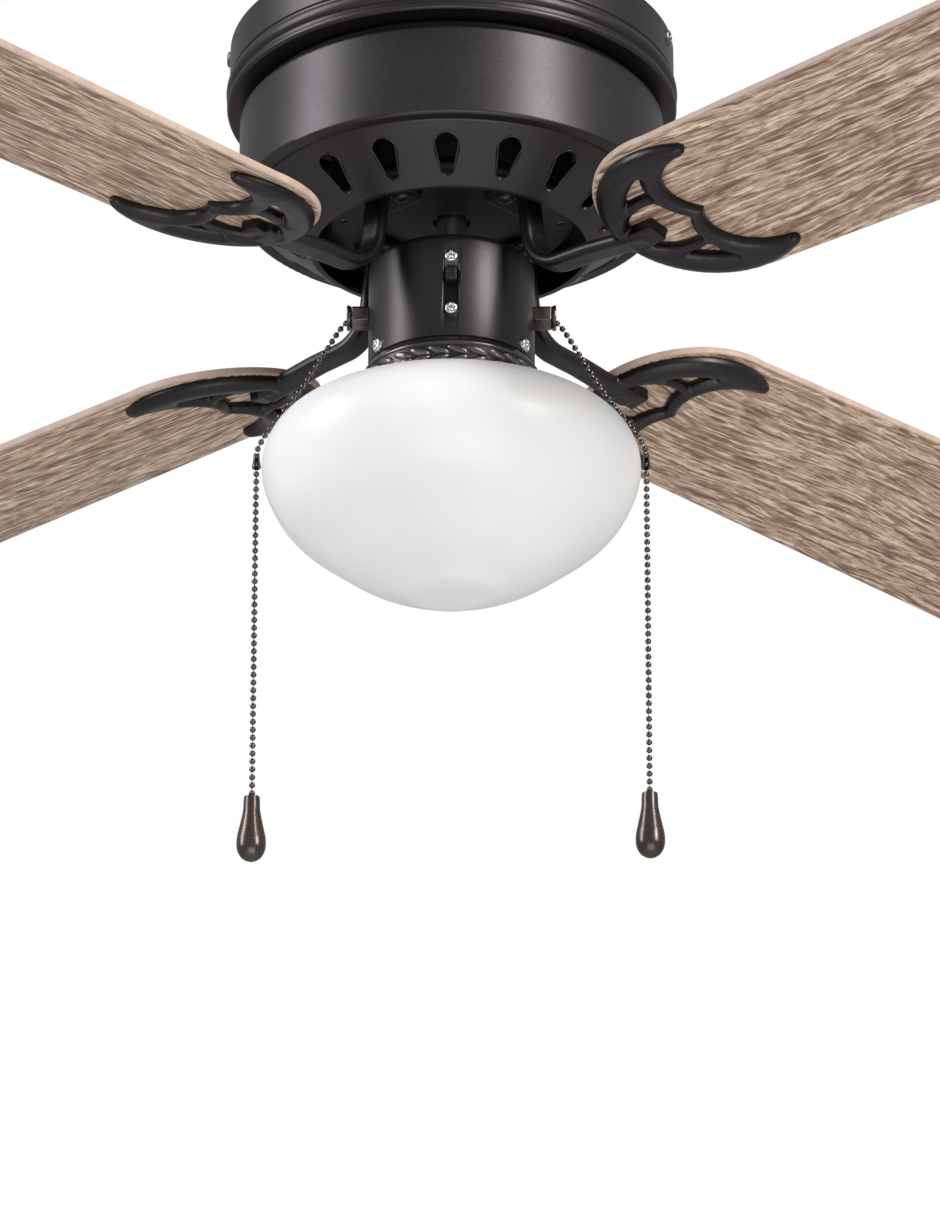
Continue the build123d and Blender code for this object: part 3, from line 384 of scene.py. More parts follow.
# ------------------------------------------------------------------ shapes
class Shape:
    """Points and faces of one piece, in millimetres."""

    def __init__(self):
        self.points, self.faces, self.marks = [], [], []

    def add(self, points, faces, place=Matrix(), mark=0):
        start = len(self.points)
        self.points += [place @ Vector(p) for p in points]
        self.faces += [[start + i for i in face] for face in faces]
        self.marks += [mark] * len(faces)
        return self

    def lathe(self, outline, place=Matrix(), steps=144, closed=True):
        """Turns an outline of (radius, height) about the Z axis."""
        turns = [2 * math.pi * i / steps for i in range(steps)]
        points = [(r * math.cos(t), r * math.sin(t), z) for t in turns for r, z in outline]
        count = len(outline)
        faces = [(i * count + j, i * count + (j + 1) % count,
                  (i + 1) % steps * count + (j + 1) % count, (i + 1) % steps * count + j)
                 for i in range(steps) for j in range(count if closed else count - 1)]
        return self.add(points, faces, place)

    def slab(self, outline, bottom, top, edge, place=Matrix(), steps=4, side_mark=0):
        """A flat piece with a closed plan outline and rounded edges."""
        line = np.array(outline, float)
        ways = np.roll(line, -1, 0) - np.roll(line, 1, 0)
        ways /= np.linalg.norm(ways, axis=1)[:, None]
        area = np.sum(line[:, 0] * np.roll(line[:, 1], -1) - np.roll(line[:, 0], -1) * line[:, 1])
        inward = np.stack([-ways[:, 1], ways[:, 0]], 1) * (1 if area > 0 else -1)
        quarter = [math.pi / 2 * k / steps for k in range(steps + 1)]
        rings = [(edge * (1 - math.sin(q)), bottom + edge * (1 - math.cos(q))) for q in quarter]
        rings += [(edge * (1 - math.cos(q)), top - edge * (1 - math.sin(q))) for q in quarter]
        points, count = [], len(line)
        for inset, height in rings:
            points += [(x, y, height) for x, y in line + inward * inset]
        faces = [(k * count + i, k * count + (i + 1) % count,
                  (k + 1) * count + (i + 1) % count, (k + 1) * count + i)
                 for k in range(len(rings) - 1) for i in range(count)]
        self.add(points, faces, place, side_mark)
        start = len(self.points) - len(points)
        self.faces += [[start + i for i in range(count)][::-1],
                       [start + (len(rings) - 1) * count + i for i in range(count)]]
        self.marks += [0, 0]
        return self

    def sweep(self, path, section, side=None, closed=False, place=Matrix()):
        """Carries a closed (side, up) section along a path; a fixed side suits a path in one plane."""
        path = [Vector(p) for p in path]
        count, wide = len(path), len(section)
        points, carried = [], side
        for i, here in enumerate(path):
            ahead = path[(i + 1) % count] if closed or i < count - 1 else here
            behind = path[i - 1] if closed or i > 0 else here
            way = (ahead - behind).normalized()
            if side is None:
                carried = carried or way.orthogonal().normalized()
                carried = (carried - way * carried.dot(way)).normalized()
            up = way.cross(carried).normalized()
            points += [here + carried * a + up * b for a, b in section]
        spans = count if closed else count - 1
        faces = [(i * wide + j, i * wide + (j + 1) % wide,
                  (i + 1) % count * wide + (j + 1) % wide, (i + 1) % count * wide + j)
                 for i in range(spans) for j in range(wide)]
        if not closed:
            faces += [list(range(wide))[::-1], [(count - 1) * wide + j for j in range(wide)]]
        return self.add(points, faces, place)

    def mesh(self, name, materials, crease=38.0):
        """A mesh in metres, with clean normals and sharp edges above the crease angle."""
        mesh = bpy.data.meshes.new(name)
        mesh.from_pydata([tuple(p * MM) for p in self.points], [], self.faces)
        mesh.polygons.foreach_set("material_index", self.marks)
        for material in materials:
            mesh.materials.append(material)
        tidy_mesh(mesh)
        mesh.shade_smooth()
        mesh.set_sharp_from_angle(angle=math.radians(crease))
        return mesh


def tidy_mesh(mesh):
    """Merges doubled points and turns every face outwards."""
    work = bmesh.new()
    work.from_mesh(mesh)
    bmesh.ops.remove_doubles(work, verts=work.verts, dist=1e-6)
    bmesh.ops.recalc_face_normals(work, faces=work.faces)
    work.to_mesh(mesh)
    work.free()


def piece(name, mesh, body, replaces=(), place=None):
    """An object that rides on a body and stands for CAD nodes; place moves its mesh."""
    if place is not None:
        mesh = mesh.copy()
        mesh.transform(place)
    obj = bpy.data.objects.new(name, mesh)
    scene.collection.objects.link(obj)
    if replaces:
        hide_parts(*replaces)
    if body:
        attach(obj, body)
    return obj


def turned(angle, frame_mm=Matrix()):
    """A placement about the fan's axis, with its lengths in metres."""
    place = Matrix.Rotation(math.radians(angle), 4, "Z") @ frame_mm
    place.translation *= MM
    return place


def circle(radius, sides=12):
    return [(radius * math.cos(2 * math.pi * k / sides), radius * math.sin(2 * math.pi * k / sides))
            for k in range(sides)]


def facing(origin, way):
    """A placement in millimetres whose Z axis points along way."""
    way = Vector(way).normalized()
    return Matrix.Translation(Vector(origin)) @ way.to_track_quat("Z", "Y").to_matrix().to_4x4()


# ------------------------------------------------------------------ pull chains
def route_points(points):
    """The smooth line of a route of control points, in metres."""
    data = bpy.data.curves.new("route", "CURVE")
    data.dimensions = "3D"
    data.resolution_u = 16
    spline = data.splines.new("NURBS")
    spline.points.add(len(points) - 1)
    for control, point in zip(spline.points, points):
        control.co = (*point, 1)
    spline.order_u = 3
    spline.use_endpoint_u = True
    obj = bpy.data.objects.new("route", data)
    scene.collection.objects.link(obj)
    bpy.context.view_layer.update()
    line = [v.co.copy() for v in bpy.data.meshes.new_from_object(obj).vertices]
    bpy.data.objects.remove(obj)
    return line


def walk(line, distances):
    """Points and directions at distances along a line."""
    spots, travelled, index = [], 0.0, 0
    for distance in distances:
        while index < len(line) - 2 and travelled + (line[index + 1] - line[index]).length < distance:
            travelled += (line[index + 1] - line[index]).length
            index += 1
        span = line[index + 1] - line[index]
        spots.append((line[index] + span.normalized() * (distance - travelled), span.normalized()))
    return spots


def ball_chain(line):
    """Hollow balls with dimpled ends, joined by short pins, along a line in metres."""
    chain, radius = Shape(), CHAIN_D / 2
    length = sum((b - a).length for a, b in zip(line, line[1:])) / MM
    count = round((length - CHAIN_D) / CHAIN_PITCH)
    pitch = (length - CHAIN_D) / count
    ball = [(radius * math.sin(t), -radius * math.cos(t))
            for t in np.linspace(math.radians(24), math.radians(156), 13)]
    ball = [(0.0, ball[0][1] + 0.25)] + ball + [(0.0, ball[-1][1] - 0.25)]
    pin = [(0.48, radius - 0.35), (0.36, radius + 0.1),
           (0.36, pitch - radius - 0.1), (0.48, pitch - radius + 0.35)]
    spots = walk(line, [(radius + pitch * k) * MM for k in range(count + 1)])
    for k, (spot, way) in enumerate(spots):
        place = facing(spot / MM, way)
        chain.lathe(ball, place, 20, closed=False)
        if k < count:
            chain.lathe(pin, facing(spot / MM, spots[k + 1][0] - spot), 8, closed=False)
    return chain


def connector(place):
    """A chain coupling: a bell sleeve with an open front, and the two balls it holds."""
    coupling = Shape()
    sleeve = shell(rounded([(1.0, 0), (1.55, -0.5), (1.75, -4.2), (2.35, -7.6), (2.35, -8.6), (1.3, -9.4)],
                           (0, 0.5, 2.0, 1.2, 0.5, 0)), 0.35)
    wide = 30
    turns = [math.radians(-90 + 32 + (360 - 64) * k / wide) for k in range(wide + 1)]
    points = [(r * math.cos(t), r * math.sin(t), z) for t in turns for r, z in sleeve]
    count = len(sleeve)
    faces = [(i * count + j, i * count + (j + 1) % count,
              (i + 1) * count + (j + 1) % count, (i + 1) * count + j)
             for i in range(wide) for j in range(count)]
    faces += [list(range(count)), [wide * count + j for j in range(count)][::-1]]
    coupling.add(points, faces, place)
    for level, size in ((-2.0, 1.3), (-6.6, 1.55)):
        ball = [(size * math.sin(t), level - size * math.cos(t)) for t in np.linspace(0, math.pi, 11)]
        coupling.lathe(ball, place, 18, closed=False)
    return coupling


def fob(place):
    """A turned drop with a small collar round the chain."""
    side = [(4.0, -0.6), (4.15, -3.0), (4.4, -8.0), (5.3, -12.8), (6.3, -17.5), (7.15, -21.5), (7.5, -25.5),
            (7.0, -29.4), (5.3, -32.6), (2.9, -34.4), (1.1, -34.9)]
    curve = smooth(side, 6)
    top = rounded([(0.9, -0.9), (0.9, -0.1), (2.9, -0.05), (4.0, -0.6)], (0, 0.3, 0.5, 0), steps=4)
    return Shape().lathe(top + curve + [(0.7, -34.5), (0.0, -34.3)], place, 64, closed=False)


def smooth(points, steps):
    """A smooth line through points."""
    ends = [2 * np.array(points[0]) - np.array(points[1])] + [np.array(p, float) for p in points]
    ends.append(2 * ends[-1] - ends[-2])
    made = []
    for before, here, ahead, after in zip(ends, ends[1:], ends[2:], ends[3:]):
        for k in range(steps):
            t = k / steps
            made.append(tuple(0.5 * (2 * here + (ahead - before) * t
                                     + (2 * before - 5 * here + 4 * ahead - after) * t * t
                                     + (3 * here - before - 3 * ahead + after) * t ** 3)))
    return made + [tuple(points[-1])]


for side, way in (("fan", -1), ("light", 1)):
    fob_top = FOB_TOPS_Z[side]
    pull, pendant = f"{side}_pull", f"{side}_pendant"
    joint = [LOOKS["bronze_chain"]]
    sleeve = connector(Matrix.Translation((way * CHAIN_X, 0, COUPLING_TOP_Z)))
    coupling = piece(f"{side}_coupling", sleeve.mesh("coupling", joint),
                     pull, [f"{side}_chain_connector"])
    turned_fob = fob(Matrix.Translation((way * FOB_X, 0, fob_top)))
    drop = piece(f"{side}_fob", turned_fob.mesh("fob", [LOOKS["bronze_fob"]]),
                 pendant, [f"{side}_pull_fob"])
    upper_line = route_points([(way * x * MM, 0, z * MM) for x, z in UPPER_CHAIN])
    upper = piece(f"{side}_upper_chain", ball_chain(upper_line).mesh("upper_chain", joint),
                  None, [f"{side}_chain_upper"])
    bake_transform(upper)
    lower_line = route_points([
        (way * CHAIN_X * MM, 0, LOWER_CHAIN_TOP_Z * MM), (way * (CHAIN_X - 0.1) * MM, 0, -0.303),
        (way * (CHAIN_X - 0.3) * MM, 0, -0.364), (way * FOB_X * MM, 0, fob_top * MM)])
    lower = piece(f"{side}_lower_chain", ball_chain(lower_line).mesh("lower_chain", joint),
                  pendant, [f"{side}_chain_lower"])


# ------------------------------------------------------------------ blades
def blade_outline():
    root = arc((185, -58.4), (120.5, 0), (185, 58.4), 48)
    corners = [(382, 63.7), (530.4, 67.6), (533.4, 0), (530.4, -67.6), (382, -63.7)]
    rest = rounded([(185, 58.4)] + corners + [(185, -58.4)], (0, 400, 24, 763, 24, 400, 0), steps=12)
    return root + rest[1:-1]


blade_shape = Shape().slab(divided(blade_outline(), 6.0), -BLADE_T / 2, BLADE_T / 2, 0.9, side_mark=1)
for number, (angle, wood) in enumerate(zip(BLADE_ANGLES, OAK), 1):
    piece(f"oak_blade_{number}", blade_shape.mesh(f"oak_blade_{number}", [wood, OAK_EDGE], 50.0), "rotor",
          [f"blade_{number}"], turned(angle, BLADE_FRAME))


# ------------------------------------------------------------------ blade irons
def iron_loops():
    """The crescent's outline and its windows, in the blade's plan."""
    half = (arc((177, 0), (170.3, 16), (180, 34.5), 20)
            + arc((180, 34.5), (189, 39.6), (198.5, 41.6), 12)[1:]
            + arc((198.5, 41.6), (202.4, 45.6), (199.5, 48.62), 8)[1:]
            + arc((199.5, 48.62), (137.8, 38.2), (122, 0), 50)[1:])
    loops = [half + [(x, -y) for x, y in reversed(half[1:-1])]]
    for side in (1, -1):
        loops.append(arc((145, 23.5 * side), (155.5, 32.6 * side), (167, 38.4 * side))
                     + arc((167, 38.4 * side), (162.6, 31.4 * side), (161.2, 23.6 * side))[1:]
                     + arc((161.2, 23.6 * side), (152.6, 24.6 * side), (145, 23.5 * side))[1:-1])
    heart = (arc((132.5, 6.6), (143, 15.8), (160.6, 17.2))
             + arc((160.6, 17.2), (162.4, 8.5), (167.6, 0))[1:])
    loops.append(heart + [(x, -y) for x, y in reversed(heart[:-1])] + [(147.5, -6.6), (147.5, 6.6)])
    return [thinned(divided(loop, 1.0), 0.3) for loop in loops]


def inside(points, loops):
    """Whether each point is in the outline and out of its windows."""
    hit = np.zeros(len(points), bool)
    for loop in loops:
        line = np.array(loop)
        (x1, y1), (x2, y2) = line.T, np.roll(line, -1, 0).T
        for a, b, c, d in zip(x1, y1, x2, y2):
            crosses = (b > points[:, 1]) != (d > points[:, 1])
            with np.errstate(divide="ignore", invalid="ignore"):
                hit ^= crosses & (points[:, 0] < (c - a) * (points[:, 1] - b) / (d - b) + a)
    return hit


def edge_distance(points, loops):
    """Distance from each point to the nearest edge of any loop."""
    nearest = np.full(len(points), 1e9)
    for loop in loops:
        line = np.array(loop)
        for a, b in zip(line, np.roll(line, -1, 0)):
            way = b - a
            share = np.clip(((points - a) @ way) / (way @ way), 0, 1)
            nearest = np.minimum(nearest, np.linalg.norm(points - a - share[:, None] * way, axis=1))
    return nearest


def crescent(shape, wall=1.6, reach=6.6):
    """The cast crescent: flat against the blade, with ribs that swell to round backs underneath."""
    loops = iron_loops()
    grid = np.array([(x, y) for x in np.arange(121.5, 204, 1.1) for y in np.arange(-54.5, 55, 1.1)])
    grid = grid[inside(grid, loops)]
    seeds = [grid[edge_distance(grid, loops) > 1.3]]
    for loop in loops:
        line = np.array(loop)
        ways = np.roll(line, -1, 0) - np.roll(line, 1, 0)
        normals = np.stack([-ways[:, 1], ways[:, 0]], 1) / np.linalg.norm(ways, axis=1)[:, None]
        for depth in (0.12, 0.4, 0.85):
            for sign in (1, -1):
                ring = line + normals * depth * sign
                ring = ring[inside(ring, loops)]
                seeds.append(ring[edge_distance(ring, loops) > depth * 0.9])
    rims = [tuple(p) for loop in loops for p in loop]
    edges, start = [], 0
    for loop in loops:
        edges += [(start + i, start + (i + 1) % len(loop)) for i in range(len(loop))]
        start += len(loop)
    cloud = [Vector(p) for p in rims] + [Vector(p) for p in np.concatenate(seeds)]
    flat, _, faces, _, _, _ = delaunay_2d_cdt(cloud, edges, [], 0, 1e-4)
    plan = np.array([tuple(p) for p in flat])
    middles = np.array([plan[list(face)].mean(0) for face in faces])
    faces = [face for face, ok in zip(faces, inside(middles, loops)) if ok]
    deep = edge_distance(plan, loops)
    near = np.clip(deep / reach, 0, 1)
    rise = wall + (IRON_T - wall) * np.sqrt(1 - (1 - near) ** 2)
    rise = eased(rise, faces, deep > 0.3, 5)
    count = len(plan)
    lower = [(x, y, UNDERSIDE - h) for (x, y), h in zip(plan, rise)]
    upper = [(x, y, UNDERSIDE) for x, y in plan]
    walls = {}      # an edge between two faces cancels out, which leaves the outline's own
    for face in faces:
        for a, b in zip(face, face[1:] + face[:1]):
            if (b, a) in walls:
                del walls[(b, a)]
            else:
                walls[(a, b)] = True
    shape.add(lower + upper, [f[::-1] for f in faces] + [[i + count for i in f] for f in faces]
              + [(a, b, b + count, a + count) for a, b in walls], BLADE_FRAME)


def eased(values, faces, free, rounds):
    """Values at the points of a mesh, averaged with their neighbours where they are free to move."""
    pairs = np.array([(a, b) for f in faces for a, b in zip(f, f[1:] + f[:1])])
    pairs = np.concatenate([pairs, pairs[:, ::-1]])
    weight = np.bincount(pairs[:, 0], minlength=len(values))
    for _ in range(rounds):
        total = np.bincount(pairs[:, 0], values[pairs[:, 1]], minlength=len(values))
        values = np.where(free & (weight > 0), 0.5 * values + 0.5 * total / np.maximum(weight, 1), values)
    return values


def iron_shape():
    """One iron at angle 0: pad under the rotor, curved arm, boss and crescent."""
    iron = Shape()
    crescent(iron)
    arm = rounded([(52, -103.2), (55.5, -103.2), (61.5, -149.0), (100, -150.8), (140, -155.6)],
                  (0, 3, 30, 40, 0), steps=14)
    section = rounded([(-7.5, -3.5), (7.5, -3.5), (7.5, 3.5), (-7.5, 3.5)], (3.2,) * 4, closed=True, steps=5)
    fine = [arm[0]]
    for here, ahead in zip(arm, arm[1:]):
        parts = max(1, round(math.dist(here, ahead) / 2.0))
        start, step = np.array(here), np.array(ahead) - np.array(here)
        fine += [tuple(start + step * (k + 1) / parts) for k in range(parts)]
    iron.sweep([(r, 0, z) for r, z in fine], section, side=Vector((0, 1, 0)))
    pad = rounded([(36, -16), (60, -16), (60, 16), (36, 16)], (5,) * 4, closed=True, steps=8)
    iron.slab(divided(pad, 2.5), IRON_PAD_Z, -100.05, 1.3)
    boss = rounded([(132, -6.4), (147.3, -6.4), (147.3, 6.4), (132, 6.4)], (1.2,) * 4, closed=True, steps=4)
    iron.slab(divided(boss, 2.0), UNDERSIDE - IRON_T, UNDERSIDE, 1.2, BLADE_FRAME)
    return iron


def cast(obj, voxel, rounds):
    """Fuses a piece's overlapping bodies into one casting with soft inner corners."""
    fuse = obj.modifiers.new("fuse", "REMESH")
    fuse.mode = "VOXEL"
    fuse.voxel_size = voxel * MM
    soften = obj.modifiers.new("soften", "SMOOTH")
    soften.factor = 0.5
    soften.iterations = rounds
    mesh = modified(obj)
    mesh.shade_smooth()
    return mesh


def modified(obj):
    """The mesh of an object with its modifiers applied."""
    bpy.context.view_layer.update()
    return bpy.data.meshes.new_from_object(obj.evaluated_get(bpy.context.evaluated_depsgraph_get()))


iron_mesh = iron_shape().mesh("cast_iron", [LOOKS["bronze_cast"]])
model = bpy.data.objects.new("cast_iron_model", iron_mesh)
scene.collection.objects.link(model)
iron_mesh = cast(model, 0.7, 4)
bpy.data.objects.remove(model)
for number, angle in enumerate(BLADE_ANGLES, 1):
    piece(f"cast_iron_{number}", iron_mesh, "rotor", [f"blade_iron_{number}"], turned(angle))


# ------------------------------------------------------------------ screws
def screw_heads(name, places, radius, height, material, body, node):
    """Domed heads with a cross recess, each standing on its placement's plane."""
    heads = Shape()
    rings, steps = 14, 48
    for place in places:
        points = [(0, 0, 0)]
        for i in range(1, rings + 1):
            share = i / rings
            for k in range(steps):
                turn = 2 * math.pi * k / steps
                x, y = radius * share * math.cos(turn), radius * share * math.sin(turn)
                top = height * (1 - share ** 3.2) ** 0.5 if share < 1 else 0.0
                wing = min(abs(x), abs(y)) / (0.17 * radius)
                depth = np.clip(1.25 - wing, 0, 1) * np.clip((0.66 - share) * 6, 0, 1)
                points.append((x, y, top - 0.75 * height * depth))
        points[0] = (0, 0, 0.25 * height)
        faces = [(0, 1 + k, 1 + (k + 1) % steps) for k in range(steps)]
        for i in range(rings - 1):
            for k in range(steps):
                a, b = 1 + i * steps + k, 1 + i * steps + (k + 1) % steps
                faces.append((a, a + steps, b + steps, b))
        faces.append([1 + (rings - 1) * steps + k for k in range(steps)][::-1])
        heads.add(points, faces, place)
    return piece(name, heads.mesh(name, [material], 50.0), body, [node])


def ring_place(radius, angle, z):
    turn = math.radians(angle)
    out = Vector((math.cos(turn), math.sin(turn), 0))
    return facing(out * radius + Vector((0, 0, z)), out)


switch_places = [ring_place(SWITCH_R + 0.02, 270, z) for z in SWITCH_SCREWS_Z]
screw_heads("switch_screws", switch_places, 3.5, 1.7,
            LOOKS["screw_steel"], "root", "reverse_screws")
fitter_places = [ring_place(SWITCH_R + 0.05, a, FITTER_SCREW_Z) for a in (90, 210, 330)]
screw_heads("fitter_screws", fitter_places, 4.0, 2.4,
            LOOKS["screw_steel"], "root", "glass_screws")
rim_places = [ring_place(118.85, a, CANOPY_SCREW_Z) for a in CANOPY_SCREW_ANGLES]
screw_heads("rim_screws", rim_places, 4.4, 1.7,
            LOOKS["bronze_metal"], "root", "canopy_screws")
pad_places = [Matrix.Rotation(math.radians(a), 4, "Z") @ facing((47.0, t, IRON_PAD_Z), (0, 0, -1))
              for a in BLADE_ANGLES for t in (8.5, -8.5)]
screw_heads("pad_screws", pad_places, 4.6, 2.6, DARK_SCREW, "rotor", "iron_screws")
top_places = [Matrix.Rotation(math.radians(a), 4, "Z") @ BLADE_FRAME
              @ Matrix.Translation((s, t, BLADE_T / 2))
              for a in BLADE_ANGLES for s, t in BLADE_SCREWS]
screw_heads("oak_screws", top_places, 5.2, 2.4, LOOKS["screw_steel"], "rotor", "blade_screws")


# ------------------------------------------------------------------ vent rims
def vent_rims():
    """A rolled rim round every slot in the vented cone."""
    rims = Shape()
    lean = math.acos((VENT_WIDE[1] - VENT_NARROW[1]) / (VENT_WIDE[0] - VENT_NARROW[0]))
    ends = ((VENT_WIDE, -lean, lean), (VENT_NARROW, lean, 2 * math.pi - lean))
    plan = [(at + radius * math.cos(t), radius * math.sin(t))
            for (at, radius), low, high in ends for t in np.linspace(low, high, 18)]
    plan = thinned(divided(plan, 1.2), 0.3)
    cone_r, cone_z, slope = 75.217, -116.362, 0.745
    line = [(x, y, cone_z + slope * (math.hypot(x, y) - cone_r)) for x, y in plan]
    for k in range(VENT_COUNT):
        place = Matrix.Rotation(math.radians(VENT_START + 20 * k), 4, "Z")
        rims.sweep(line, circle(0.45, 10), closed=True, place=place)
    return rims


piece("vent_rims", vent_rims().mesh("vent_rims", [LOOKS["bronze_paint"]]), "root")


# ------------------------------------------------------------------ switch housing and light fitter
def switch_wall():
    """The switch housing's wall down to the seam, with the reverse switch's slot cut through."""
    outer = rounded([(9.0, SWITCH_TOP_Z), (SWITCH_R, SWITCH_TOP_Z), (SWITCH_R, -186.0),
                     (SWITCH_R - 1.0, -186.7)], (0, 5.0, 0.5, 0), steps=10)
    wall = Shape().lathe(shell(outer, 1.2)).mesh("switch_wall", [LOOKS["bronze_paint"]])
    slot = rounded([(-4, -8.5), (4, -8.5), (4, 8.5), (-4, 8.5)], (0.8,) * 4, closed=True)
    front_of_switch = Matrix.Translation((0, 0, SWITCH_Z)) @ Matrix.Rotation(math.pi / 2, 4, "X")
    cutter = Shape().slab(slot, 38.0, 48.0, 0.01, front_of_switch)
    return cut(wall, cutter.mesh("slot_cutter", []))


def cut(mesh, cutter):
    """The mesh with the cutter's volume taken out."""
    body, tool = bpy.data.objects.new("cut_body", mesh), bpy.data.objects.new("cut_tool", cutter)
    for obj in (body, tool):
        scene.collection.objects.link(obj)
    step = body.modifiers.new("cut", "BOOLEAN")
    step.object = tool
    step.solver = "EXACT"
    made = modified(body)
    for obj in (body, tool):
        bpy.data.objects.remove(obj)
    return made


piece("switch_wall", switch_wall(), "root", ["switch_housing"])


def fitter_body():
    """The fitter below the seam: a flared bead over a band of laurel leaves, and its pan inside."""
    outer = rounded([(6.0, -187.4), (SWITCH_R - 1.0, -187.4), (SWITCH_R + 0.9, -187.9),
                     (FITTER_R - 0.2, -191.2), (FITTER_R - 0.9, -192.6), (FITTER_R - 0.9, -202.8),
                     (FITTER_R, -203.2), (FITTER_R, FITTER_BOTTOM_Z)],
                    (0, 0.3, 1.2, 1.4, 0.4, 0.3, 0.3, 0), steps=6)
    return Shape().lathe(shell(outer, 1.1))


def leaf(shape, turn, level, slant, length=6.3, width=2.3, rise=1.9):
    """A leaf on the band: pointed at both ends, with a raised back and a fine vein."""
    across, along = 9, 17
    points = []
    for i in range(along):
        u = -1 + 2 * i / (along - 1)
        reach = width * max(0.0, 1 - abs(u) ** 2.2) ** 0.75
        for j in range(across):
            v = -1 + 2 * j / (across - 1)
            lift = rise * (1 - v * v) * (1 - u ** 4) - 0.22 * math.exp(-(v / 0.2) ** 2) * (1 - u * u)
            x = u * length * math.cos(slant) - v * reach * math.sin(slant)
            z = u * length * math.sin(slant) + v * reach * math.cos(slant)
            radius = FITTER_R - 1.15 + lift + 0.25 * u
            angle = turn + x / FITTER_R
            points.append((radius * math.cos(angle), radius * math.sin(angle), level + z))
    faces = [(i * across + j, i * across + j + 1, (i + 1) * across + j + 1, (i + 1) * across + j)
             for i in range(along - 1) for j in range(across - 1)]
    shape.add(points, faces)


fitter = fitter_body()
LEAVES = 28
for k in range(LEAVES):
    turn = 2 * math.pi * (k + 0.35) / LEAVES
    leaf(fitter, turn, -195.6, math.radians(-17))
    leaf(fitter, turn, -200.8, math.radians(17))
piece("leaf_band", fitter.mesh("leaf_band", [LEAVES_LOOK], 60.0), "root", ["light_fitter"])


# ------------------------------------------------------------------ chain outlets and reverse switch
def outlet(way):
    """A hexagon nut against the housing and a bell mouth for the chain, on an axis along X."""
    made = Shape()
    axis = Matrix.Translation((0, 0, SWITCH_Z)) @ Matrix.Rotation(math.radians(90 * way), 4, "Y")
    hexagon = rounded(circle(7.0, 6), (0.7,) * 6, closed=True, steps=4)
    made.slab(divided(hexagon, 1.0), SWITCH_R - 0.4, 52.4, 0.6, axis)
    bell = (rounded([(0.1, 40.2), (4.8, 40.2), (4.8, 51.6), (5.6, 52.3), (6.6, 53.2), (6.8, 54.4),
                     (6.5, 55.0), (5.8, 55.0), (5.0, 54.6)], (0, 0.3, 0.3, 0.3, 0.6, 0.3, 0.25, 0.25, 0))
            + smooth([(4.6, 53.8), (3.4, 52.8), (2.7, 52.3)], 4) + [(0.1, 52.2)])
    made.lathe(bell, axis, 56)
    return made


for side, way in (("fan", -1), ("light", 1)):
    piece(f"{side}_outlet", outlet(way).mesh(f"{side}_outlet", [LOOKS["bronze_metal"]]),
          "root", [f"{side}_switch_outlet"])

knob = Shape()
front = Matrix.Translation((0, 0, -151.8)) @ Matrix.Rotation(math.pi / 2, 4, "X")
block = rounded([(-2.8, -3.2), (2.8, -3.2), (2.8, 3.2), (-2.8, 3.2)], (0.6,) * 4, closed=True)
knob.slab(divided(block, 1.0), 36.5, 45.6, 0.4, front)
for level in (-2.2, -0.75, 0.75, 2.2):
    low, high = level - 0.35, level + 0.35
    rib = rounded([(-2.4, low), (2.4, low), (2.4, high), (-2.4, high)], (0.2,) * 4, closed=True, steps=3)
    knob.slab(divided(rib, 1.0), 45.2, 46.25, 0.25, front)
piece("slide_knob", knob.mesh("slide_knob", [LOOKS["black_plastic"]]),
      "reverse_slider", ["reverse_knob"])


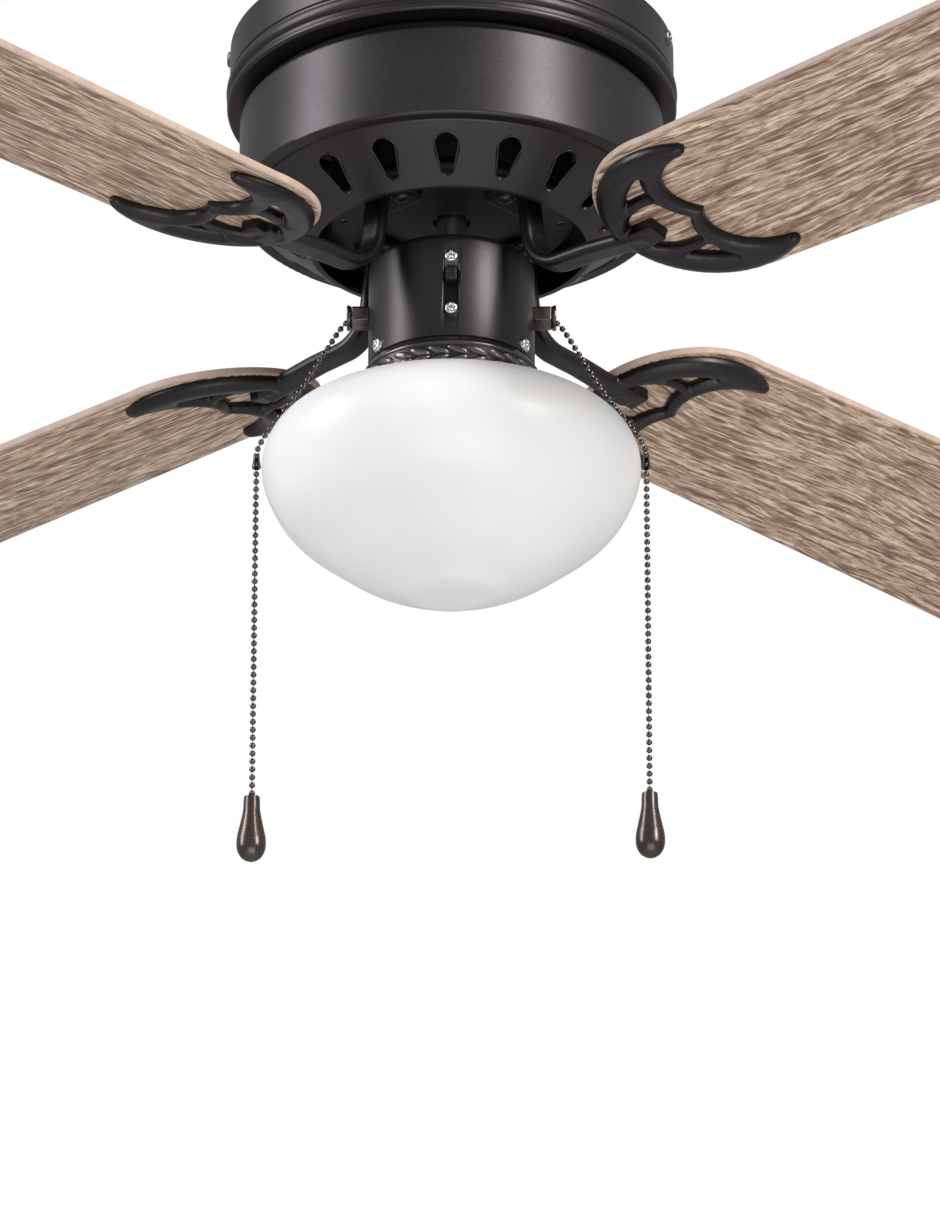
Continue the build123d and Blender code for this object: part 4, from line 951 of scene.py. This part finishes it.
# ------------------------------------------------------------------ stage and light
def panel(name, place, target, size, power, colour):
    """A soft rectangular studio light aimed at a point, in metres."""
    data = bpy.data.lights.new(name, "AREA")
    data.shape = "RECTANGLE"
    data.size, data.size_y = size
    data.energy = power
    data.color = colour
    light = bpy.data.objects.new(name, data)
    light.location = place
    light.rotation_euler = (Vector(target) - Vector(place)).to_track_quat("-Z", "Y").to_euler()
    scene.collection.objects.link(light)


def around(azimuth, elevation, distance):
    """A place round the fan; azimuth 0 is the camera's side and positive is to its right."""
    a, e = math.radians(azimuth), math.radians(elevation)
    return (distance * math.sin(a) * math.cos(e),
            -distance * math.cos(a) * math.cos(e),
            distance * math.sin(e) + FAN[2])


FAN = (0, 0, -0.15)     # the point that the lights look at
panel("left_panel", around(-75, 24, 2.4), FAN, (0.75, 2.2), 48.0, (0.93, 0.94, 1.0))
panel("right_panel", around(48, 24, 2.4), FAN, (0.60, 2.2), 66.0, (1.0, 0.98, 0.96))
panel("front_fill", around(8, -52, 2.6), FAN, (2.2, 2.2), 27.0, (1.0, 0.99, 0.98))


def set_world():
    """A white backdrop for the camera, and a softer even light for everything else."""
    world = bpy.data.worlds.new("studio")
    world.use_nodes = True
    nodes, links = world.node_tree.nodes, world.node_tree.links
    nodes.clear()
    soft, white = nodes.new("ShaderNodeBackground"), nodes.new("ShaderNodeBackground")
    soft.inputs["Color"].default_value = (1, 1, 1, 1)
    soft.inputs["Strength"].default_value = 0.42
    white.inputs["Color"].default_value = (1, 1, 1, 1)
    white.inputs["Strength"].default_value = 1.0
    path, mix = nodes.new("ShaderNodeLightPath"), nodes.new("ShaderNodeMixShader")
    out = nodes.new("ShaderNodeOutputWorld")
    links.new(path.outputs["Is Camera Ray"], mix.inputs[0])
    links.new(soft.outputs[0], mix.inputs[1])
    links.new(white.outputs[0], mix.inputs[2])
    links.new(mix.outputs[0], out.inputs[0])
    scene.world = world


set_world()
scene.view_settings.view_transform = "Standard"

floor_mesh = bpy.data.meshes.new("floor")
FLOOR_Z = -2.44
corners = [(x, y, FLOOR_Z) for x, y in ((-6, -6), (6, -6), (6, 6), (-6, 6))]
floor_mesh.from_pydata(corners, [], [(0, 1, 2, 3)])
floor_mesh.materials.append(plain_look("pale_floor", (0.80, 0.80, 0.79), (0.84, 0.84, 0.83), 0.6, 0.0, 3.0))
floor = bpy.data.objects.new("floor", floor_mesh)
scene.collection.objects.link(floor)
